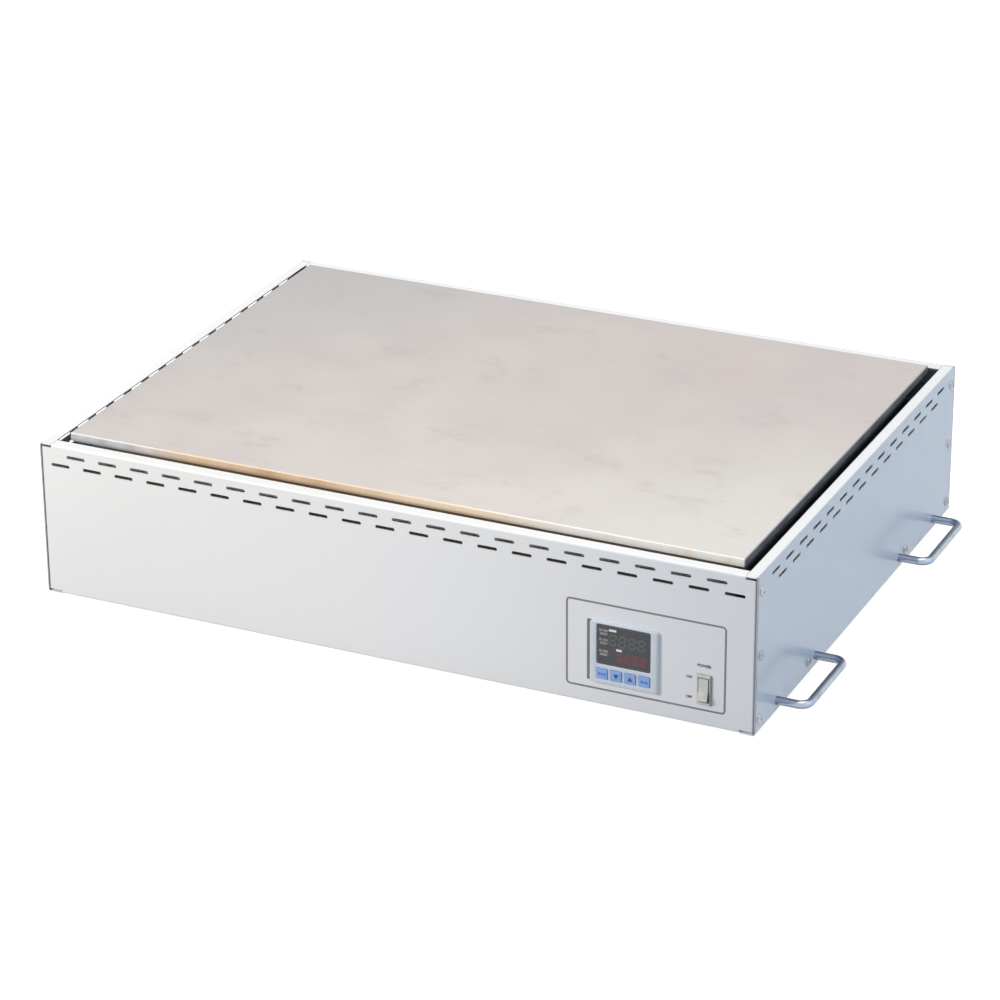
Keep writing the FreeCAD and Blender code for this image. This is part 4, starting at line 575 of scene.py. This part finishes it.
def moulding(name, outer, holes, front, back, edge, slot, body="casing"):
    """A moulded plate with holes, its front rims rounded."""
    work = bmesh.new()
    edges = []
    for loop in (outer, *holes):
        ring = [work.verts.new((x, back, z)) for x, z in loop]
        for k in range(len(ring)):
            edges.append(work.edges.new((ring[k], ring[(k + 1) % len(ring)])))
    filled = bmesh.ops.triangle_fill(work, use_beauty=True, use_dissolve=False, edges=edges)
    faces = [thing for thing in filled["geom"] if isinstance(thing, bmesh.types.BMFace)]
    raised = bmesh.ops.extrude_face_region(work, geom=faces, use_keep_orig=True)
    top = {thing for thing in raised["geom"] if isinstance(thing, bmesh.types.BMVert)}
    bmesh.ops.translate(work, verts=list(top), vec=(0, front - back, 0))
    bmesh.ops.recalc_face_normals(work, faces=work.faces)
    rims = []
    for line in work.edges:
        if line.verts[0] in top and line.verts[1] in top and line.calc_face_angle(0) > 1:
            rims.append(line)
    bmesh.ops.bevel(work, geom=rims, offset=edge, segments=3, profile=0.5, affect="EDGES")
    return piece(name, to_mesh(name, work), slot, body, smooth=40)


def softened(name, node, width, slot, body):
    """A CAD node's shape with its sharp edges rounded, which stands for the node."""
    work = bmesh.new()
    work.from_mesh(frame["nodes"][node].data)
    bmesh.ops.remove_doubles(work, verts=work.verts, dist=0.001 * MM)
    flat = math.radians(1)
    bmesh.ops.dissolve_limit(work, angle_limit=flat, verts=work.verts, edges=work.edges)
    sharp = [line for line in work.edges if line.is_manifold and line.calc_face_angle(0) > 0.5]
    bmesh.ops.bevel(work, geom=sharp, offset=width, segments=3, profile=0.5, affect="EDGES")
    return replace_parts(piece(name, to_mesh(name, work), slot, body, smooth=40), node)


def turned(work, rings, turns, axis_at=Matrix.Identity(4), flute=None, closed=False):
    """Rings of (radius, height) turned about Z, put in place by a matrix."""
    rows = []
    for radius, height in rings:
        row = []
        for k in range(turns):
            angle = 2 * math.pi * k / turns
            reach = flute(radius, height, angle) if flute else radius
            spot = Vector((reach * math.cos(angle), reach * math.sin(angle), height))
            row.append(work.verts.new(axis_at @ spot))
        rows.append(row)
    pairs = list(zip(rows, rows[1:]))
    if closed:
        pairs.append((rows[-1], rows[0]))
    for low, high in pairs:
        for k in range(turns):
            after = (k + 1) % turns
            work.faces.new((low[k], low[after], high[after], high[k]))
    if not closed:
        work.faces.new(list(reversed(rows[0])))
        work.faces.new(rows[-1])


def cut_from(target, cutter):
    """The target's mesh with the cutter's taken away. Both helpers are removed."""
    cutting = target.modifiers.new("cut", "BOOLEAN")
    cutting.object = cutter
    cutting.solver = "EXACT"
    bpy.context.view_layer.update()
    graph = bpy.context.evaluated_depsgraph_get()
    mesh = bpy.data.meshes.new_from_object(target.evaluated_get(graph))
    for used in (target, cutter):
        bpy.data.objects.remove(used)
    return mesh


def helper(name, work):
    """An object that only lives while something is made from it."""
    made = bpy.data.objects.new(name, to_mesh(name, work))
    bpy.context.scene.collection.objects.link(made)
    return made


# Casing screws: round heads with a cross recess


def screw_mesh(head, rise, shank, length):
    """One screw along Z, its head's seat at zero, with a cross cut in its crown."""
    work = bmesh.new()
    dome = []
    for step in range(8):
        angle = math.radians(90 * step / 8)
        dome.append((head * math.cos(angle) ** 0.8, 0.12 * rise + 0.88 * rise * math.sin(angle)))
    dome.append((head * 0.05, rise))
    turned(work, [(shank, -length), (shank, 0), (head, 0)] + dome, 28)
    body = helper("screw_blank", work)
    arm, web, depth = 0.52 * head, 0.13 * head, 0.55 * rise
    work = bmesh.new()
    outline = [(web, web), (web, arm), (-web, arm), (-web, web), (-arm, web), (-arm, -web)]
    outline += [(-web, -web), (-web, -arm), (web, -arm), (web, -web), (arm, -web), (arm, web)]
    low = [work.verts.new((0.55 * x, 0.55 * y, rise - depth)) for x, y in outline]
    high = [work.verts.new((1.1 * x, 1.1 * y, 1.3 * rise)) for x, y in outline]
    work.faces.new(low)
    work.faces.new(high)
    for k in range(len(outline)):
        after = (k + 1) % len(outline)
        work.faces.new((low[k], low[after], high[after], high[k]))
    return cut_from(body, helper("cross", work))


def casing_screws():
    """Every casing screw, each turned its own way as a hand leaves it."""
    boxes = solids("casing_screws")
    low, high = boxes[0]
    head = (high.z - low.z) / 2
    rise = max(abs(low.x), abs(high.x)) - CASING_RIGHT
    length = (high.x - low.x) - rise
    mesh = screw_mesh(head, rise, 2 * MM, length)
    work = bmesh.new()
    for number, (low, high) in enumerate(sorted(boxes, key=lambda box: tuple(box[0]))):
        side = 1 if low.x > 0 else -1
        middle = (low + high) / 2
        turn = Matrix.Rotation(math.radians(90) * side, 4, "Y")
        spin = Matrix.Rotation(math.radians(37 * number), 4, "Z")
        copy = mesh.copy()
        seat = Matrix.Translation((side * CASING_RIGHT, middle.y, middle.z))
        copy.transform(seat @ turn @ spin)
        work.from_mesh(copy)
        bpy.data.meshes.remove(copy)
    made = piece("panel_screws", to_mesh("panel_screws", work), "screw_steel", smooth=35)
    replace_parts(made, "casing_screws")


# Printing on the front panel


def lettering(name, words, x, z, height):
    """Words of a height on the front panel, about a middle."""
    text = bpy.data.curves.new(name, "FONT")
    text.body = words
    text.extrude = 1.0
    text.offset = LETTERING_WEIGHT
    thing = bpy.data.objects.new(name, text)
    bpy.context.scene.collection.objects.link(thing)
    bpy.context.view_layer.update()
    graph = bpy.context.evaluated_depsgraph_get()
    mesh = bpy.data.meshes.new_from_object(thing.evaluated_get(graph))
    bpy.data.objects.remove(thing)
    spots = [v.co for v in mesh.vertices]
    low = Vector(min(s[k] for s in spots) for k in range(3))
    high = Vector(max(s[k] for s in spots) for k in range(3))
    scale = height / (high.y - low.y)
    middle = (low + high) / 2
    for vertex in mesh.vertices:
        across, up, depth = vertex.co - middle
        vertex.co = (
            x + across * scale,
            FRONT - PRINT_THICKNESS / 2 - depth / (high.z - low.z) * PRINT_THICKNESS,
            z + up * scale,
        )
    return piece(name, mesh, "painted_casing", look=PRINT)


def frame_line():
    """The round-cornered line printed round the controls."""
    low, high = CASING_LOW + LINE_LOW, CASING_LOW + LINE_HIGH
    half = LINE_WIDTH / 2
    rings = []
    for out in (half, -half):
        sides = LINE_LEFT - out, low - out, LINE_RIGHT + out, high + out
        rings.append(round_rectangle(*sides, LINE_CORNER + out, 8))
    loops = []
    for k in range(len(rings[0])):
        after = (k + 1) % len(rings[0])
        loops.append((rings[0][k], rings[0][after], rings[1][after], rings[1][k]))
    work = bmesh.new()
    prisms(work, loops, FRONT - PRINT_THICKNESS, FRONT)
    bmesh.ops.remove_doubles(work, verts=work.verts, dist=0.001 * MM)
    doubled = [face for face in work.faces if all(len(e.link_faces) > 2 for e in face.edges)]
    bmesh.ops.delete(work, geom=doubled, context="FACES_ONLY")
    piece("frame_line", to_mesh("frame_line", work), "painted_casing", look=LINE_INK)


# Temperature controller's face


def bezel():
    """The controller's moulded face with its window and key openings."""
    window = round_rectangle(
        WINDOW_LOW.x + WINDOW_LEDGE,
        WINDOW_LOW.z + WINDOW_LEDGE,
        WINDOW_HIGH.x - WINDOW_LEDGE,
        WINDOW_HIGH.z - WINDOW_LEDGE,
        2 * MM,
    )
    openings = [window]
    for key in KEY_NAMES:
        left, low, right, high = key_face(key)
        sides = left - KEY_GAP, low - KEY_GAP, right + KEY_GAP, high + KEY_GAP
        openings.append(round_rectangle(*sides, 1.1 * MM, 4))
    outer = round_rectangle(BEZEL_LOW.x, BEZEL_LOW.z, BEZEL_HIGH.x, BEZEL_HIGH.z, 2.2 * MM)
    front, back = BEZEL_LOW.y, BEZEL_HIGH.y
    made = moulding("bezel_face", outer, openings, front, back, 0.7 * MM, "bezel_plastic")
    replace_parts(made, "controller_bezel")


def key_face(key):
    """Left, low, right and high of a key's face, inside the rim that keeps it in the bezel."""
    low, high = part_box("key_" + key)
    return low.x + KEY_RIM, low.z + KEY_RIM, high.x - KEY_RIM, high.z - KEY_RIM


def keys():
    """Four round-cornered keys with printed marks."""
    for key in KEY_NAMES:
        left, low, right, high = key_face(key)
        front, back = (corner.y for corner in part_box("key_" + key))
        body = key + "_key"
        outer = round_rectangle(left, low, right, high, 1.0 * MM, 4)
        made = moulding(f"{key}_cap", outer, (), front, back, 0.45 * MM, "key_plastic", body)
        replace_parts(made, "key_" + key)
        mark = key_mark(key, (left + right) / 2, (low + high) / 2)
        flat_shapes(f"{key}_mark", mark, front, "key_plastic", body, KEY_INKS[key])


def key_mark(key, x, z):
    """Outlines of a key's mark: a triangle for up and down, small blocks for the others."""
    if key in ("up", "down"):
        size = 2.6 * MM
        way = size if key == "up" else -size
        return [[(x - size, z - 0.8 * way), (x + size, z - 0.8 * way), (x, z + way)]]
    if key == "menu":
        blocks = ((-2.8, 2.4), (0.1, 2.0), (2.9, 2.0))
    else:
        blocks = ((-2.1, 2.6), (1.7, 3.4))
    low, high = z - 1.2 * MM, z + 1.2 * MM
    loops = []
    for middle, width in blocks:
        left, right = x + (middle - width / 2) * MM, x + (middle + width / 2) * MM
        loops.append(((left, low), (right, low), (right, high), (left, high)))
    return loops


def digit(x, z, width, height, stroke):
    """The seven segments of one figure about its low left corner, leaning a little."""
    gap = 0.12 * stroke
    half = height / 2

    def lean(points):
        return [(x + px + 0.08 * pz, z + pz) for px, pz in points]

    loops = []
    for level in (0, half - stroke / 2, height - stroke):
        a, b = gap + stroke * 0.5, width - gap - stroke * 0.5
        loops.append(
            lean(
                (
                    (a, level + stroke / 2),
                    (a + stroke / 2, level),
                    (b - stroke / 2, level),
                    (b, level + stroke / 2),
                    (b - stroke / 2, level + stroke),
                    (a + stroke / 2, level + stroke),
                )
            )
        )
    for side in (0, width - stroke):
        for bottom in (0, half):
            c, d = bottom + gap + stroke * 0.4, bottom + half - gap - stroke * 0.4
            loops.append(
                lean(
                    (
                        (side + stroke / 2, c),
                        (side + stroke, c + stroke / 2),
                        (side + stroke, d - stroke / 2),
                        (side + stroke / 2, d),
                        (side, d - stroke / 2),
                        (side, c + stroke / 2),
                    )
                )
            )
    return loops


def block(x, z, width, height, corner):
    """A small block's outline from its low left, in mm, heights from the casing's foot."""
    left, low = x * MM, CASING_LOW + z * MM
    return round_rectangle(left, low, left + width * MM, low + height * MM, corner * MM, 3)


def display():
    """What shows in the window: a field, a red strip, two rows of figures, lamps and two bars."""
    face = WINDOW_LOW.y
    left, right = WINDOW_LOW.x + WINDOW_LEDGE, WINDOW_HIGH.x - WINDOW_LEDGE
    low, high = WINDOW_LOW.z + WINDOW_LEDGE, WINDOW_HIGH.z - WINDOW_LEDGE
    sides = left + 1.6 * MM, low + 2.0 * MM, right - 1.9 * MM, high - 2.6 * MM
    field = round_rectangle(*sides, 1.2 * MM)
    flat_shapes("display_field", [field], face, "window_plastic", look=MASK)
    face -= PRINT_THICKNESS
    strip = block(233.6, 47.6, 31.5, 11.2, 0.6)
    flat_shapes("red_filter", [strip], face, "window_plastic", look=RED_FILTER)
    face -= PRINT_THICKNESS
    rows = (
        ("upper_figures", 226.6, 63.4, 9.5, 7.8, 12.2, 1.8, UNLIT),
        ("lower_figures", 234.4, 48.4, 7.7, 6.3, 9.6, 1.9, DIM_RED),
    )
    for name, x, z, pitch, width, height, stroke, look in rows:
        loops = []
        for k in range(4):
            spot = (x + k * pitch) * MM, CASING_LOW + z * MM
            loops += digit(*spot, width * MM, height * MM, stroke * MM)
        flat_shapes(name, loops, face, "window_plastic", look=look)
    bars = []
    for x, z, width in ((227.2, 78.2, 7.4), (234.5, 59.4, 5.6)):
        bars.append(block(x, z, width, 2.2, 0.5))
    flat_shapes("white_bars", bars, face, "window_plastic", look=WHITE_BARS)
    lamps = []
    for z in (76.9, 67.4, 56.0):
        for x, drop, width in ((217.6, 0.0, 2.6), (221.2, 0.0, 5.2), (218.4, 3.4, 7.4)):
            lamps.append(block(x, z - drop, width, 2.4, 0.5))
    flat_shapes("lamp_rows", lamps, face, "window_plastic", look=LAMPS)


def bezel_shadow_strip():
    """A dark strip behind the bezel that shows on its left: painted shadow of the bezel."""
    work = bmesh.new()
    left, right = BEZEL_LOW.x - SHADOW_STRIP_SHOWS, BEZEL_LOW.x + 0.5 * MM
    low, high = BEZEL_LOW.z + 0.4 * MM, BEZEL_HIGH.z - 0.2 * MM
    loop = round_rectangle(left, low, right, high, 0.4 * MM)
    prisms(work, [loop], FRONT - SHADOW_STRIP_THICKNESS, FRONT)
    piece("bezel_shadow_strip", to_mesh("bezel_shadow_strip", work), "rubber_foot", look=SHADOW_STRIP_LOOK)


# Cable gland's cap


def gland_cap():
    """The gland's cap with grip flutes and a domed end."""
    low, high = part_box("gland_cap")
    reach = (high.x - low.x) / 2
    length = high.y - low.y
    mouth, thread, depth = 5.2 * MM, 8.15 * MM, 6.3 * MM
    shoulder = 0.6 * length
    end = 0.7 / 0.95 * reach
    rings = [(thread, 0), (reach * 0.97, 0), (reach, 0.4 * MM), (reach, shoulder)]
    for step in range(1, 7):
        angle = math.radians(90 * step / 6)
        radius = reach + (end - reach) * (1 - math.cos(angle))
        rings.append((radius, shoulder + (length - shoulder) * math.sin(angle)))
    rings += [(mouth + 0.4 * MM, length), (mouth, length - 0.4 * MM)]
    rings += [(mouth, depth), (thread, depth)]

    def flute(radius, height, angle):
        if radius < 0.98 * reach or not 0.3 * MM < height <= shoulder:
            return radius
        return radius - 0.5 * MM * (0.5 + 0.5 * math.cos(18 * angle)) ** 3

    work = bmesh.new()
    middle = (low + high) / 2
    seat = Matrix.Translation((middle.x, low.y, middle.z))
    seat = seat @ Matrix.Rotation(math.radians(-90), 4, "X")
    turned(work, rings, 144, seat, flute, closed=True)
    made = piece("gland_cap_fluted", to_mesh("gland_cap_fluted", work), "black_plastic", smooth=35)
    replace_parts(made, "gland_cap")


casing_screws()
frame_line()
lettering("power_lettering", "POWER", 320.0 * MM, CASING_LOW + 60.8 * MM, 3.1 * MM)
lettering("on_lettering", "ON", 305.3 * MM, CASING_LOW + 47.4 * MM, 2.8 * MM)
lettering("off_lettering", "OFF", 305.4 * MM, CASING_LOW + 27.0 * MM, 2.8 * MM)
bezel()
keys()
display()
bezel_shadow_strip()
softened("rocker_cap", "switch_rocker", 0.35 * MM, "ivory_plastic", "rocker")
gland_cap()


# Stage: a white floor that keeps the object's shadow


def seen_directly(tree):
    """1 for camera, mirror and glass rays."""
    path = tree.nodes.new("ShaderNodeLightPath")
    total = path.outputs["Is Camera Ray"]
    for name in ("Is Glossy Ray", "Is Transmission Ray"):
        joined = tree.nodes.new("ShaderNodeMath")
        joined.operation = "MAXIMUM"
        tree.links.new(total, joined.inputs[0])
        tree.links.new(path.outputs[name], joined.inputs[1])
        total = joined.outputs[0]
    return total


def floor():
    """A wide pale floor at the feet."""
    work = bmesh.new()
    reach = 15
    corners = ((-reach, -reach), (reach, -reach), (reach, reach), (-reach, reach))
    work.faces.new([work.verts.new((x, y, 0)) for x, y in corners])
    mesh = to_mesh("floor", work)
    made = bpy.data.objects.new("floor", mesh)
    bpy.context.scene.collection.objects.link(made)
    material = bpy.data.materials.new("floor")
    material.use_nodes = True
    tree = material.node_tree
    tree.nodes.clear()
    light = tree.nodes.new("ShaderNodeBsdfDiffuse")
    light.inputs["Color"].default_value = (0.40, 0.40, 0.40, 1)
    shade = tree.nodes.new("ShaderNodeBsdfDiffuse")
    shade.inputs["Color"].default_value = (0.32, 0.32, 0.32, 1)
    glow = tree.nodes.new("ShaderNodeEmission")
    glow.inputs["Strength"].default_value = 0.92
    both = tree.nodes.new("ShaderNodeAddShader")
    choice = tree.nodes.new("ShaderNodeMixShader")
    output = tree.nodes.new("ShaderNodeOutputMaterial")
    tree.links.new(shade.outputs[0], both.inputs[0])
    tree.links.new(glow.outputs[0], both.inputs[1])
    tree.links.new(seen_directly(tree), choice.inputs[0])
    tree.links.new(light.outputs[0], choice.inputs[1])
    tree.links.new(both.outputs[0], choice.inputs[2])
    tree.links.new(choice.outputs[0], output.inputs["Surface"])
    mesh.materials.append(material)


def sky():
    """White where it is seen, a soft cool grey where it lights."""
    world = bpy.data.worlds.new("sky")
    bpy.context.scene.world = world
    world.use_nodes = True
    tree = world.node_tree
    tree.nodes.clear()
    soft = tree.nodes.new("ShaderNodeBackground")
    soft.inputs["Color"].default_value = (0.80, 0.90, 1.0, 1)
    soft.inputs["Strength"].default_value = 0.31
    white = tree.nodes.new("ShaderNodeBackground")
    white.inputs["Color"].default_value = (1, 1, 1, 1)
    white.inputs["Strength"].default_value = 1.0
    choice = tree.nodes.new("ShaderNodeMixShader")
    output = tree.nodes.new("ShaderNodeOutputWorld")
    tree.links.new(seen_directly(tree), choice.inputs[0])
    tree.links.new(soft.outputs[0], choice.inputs[1])
    tree.links.new(white.outputs[0], choice.inputs[2])
    tree.links.new(choice.outputs[0], output.inputs["Surface"])


def softbox(name, place, size, watts, colour):
    """A square lamp aimed at the middle of the object."""
    lamp = bpy.data.lights.new(name, "AREA")
    lamp.shape = "SQUARE"
    lamp.size = size
    lamp.energy = watts
    lamp.color = colour
    made = bpy.data.objects.new(name, lamp)
    bpy.context.scene.collection.objects.link(made)
    made.location = place
    aim = Vector((0, 0, 0.1)) - Vector(place)
    made.rotation_euler = aim.to_track_quat("-Z", "Y").to_euler()


def camera():
    """The photograph's viewpoint, from the fit to the casing's corners."""
    level = Vector((math.cos(CAMERA_AZIMUTH), math.sin(CAMERA_AZIMUTH), 0))
    away = Vector((level.y, -level.x, 0))
    back = math.cos(CAMERA_ELEVATION) * away + math.sin(CAMERA_ELEVATION) * Vector((0, 0, 1))
    plumb = back.cross(level)
    right = math.cos(CAMERA_ROLL) * level + math.sin(CAMERA_ROLL) * plumb
    up = math.cos(CAMERA_ROLL) * plumb - math.sin(CAMERA_ROLL) * level
    turn = Matrix((right, up, back)).transposed().to_4x4()
    lens = bpy.data.cameras.new("photo_view")
    lens.sensor_width = SENSOR_MM
    lens.lens = FOCAL_PIXELS / IMAGE_PIXELS * SENSOR_MM
    lens.clip_end = 100
    made = bpy.data.objects.new("photo_view", lens)
    bpy.context.scene.collection.objects.link(made)
    made.matrix_world = Matrix.Translation(CAMERA_TARGET + CAMERA_DISTANCE * back) @ turn
    bpy.context.scene.camera = made


floor()
sky()
softbox("key_light", (-1.5, -1.8, 1.2), 0.6, 41.5, (1.0, 0.95, 0.89))
softbox("top_light", (0.1, 0.3, 2.6), 2.0, 43, (1.0, 0.965, 0.92))
softbox("right_light", (2.4, -0.4, 0.9), 2.2, 9.6, (0.10, 0.50, 1.0))
camera()
bpy.context.scene.view_settings.view_transform = "Standard"
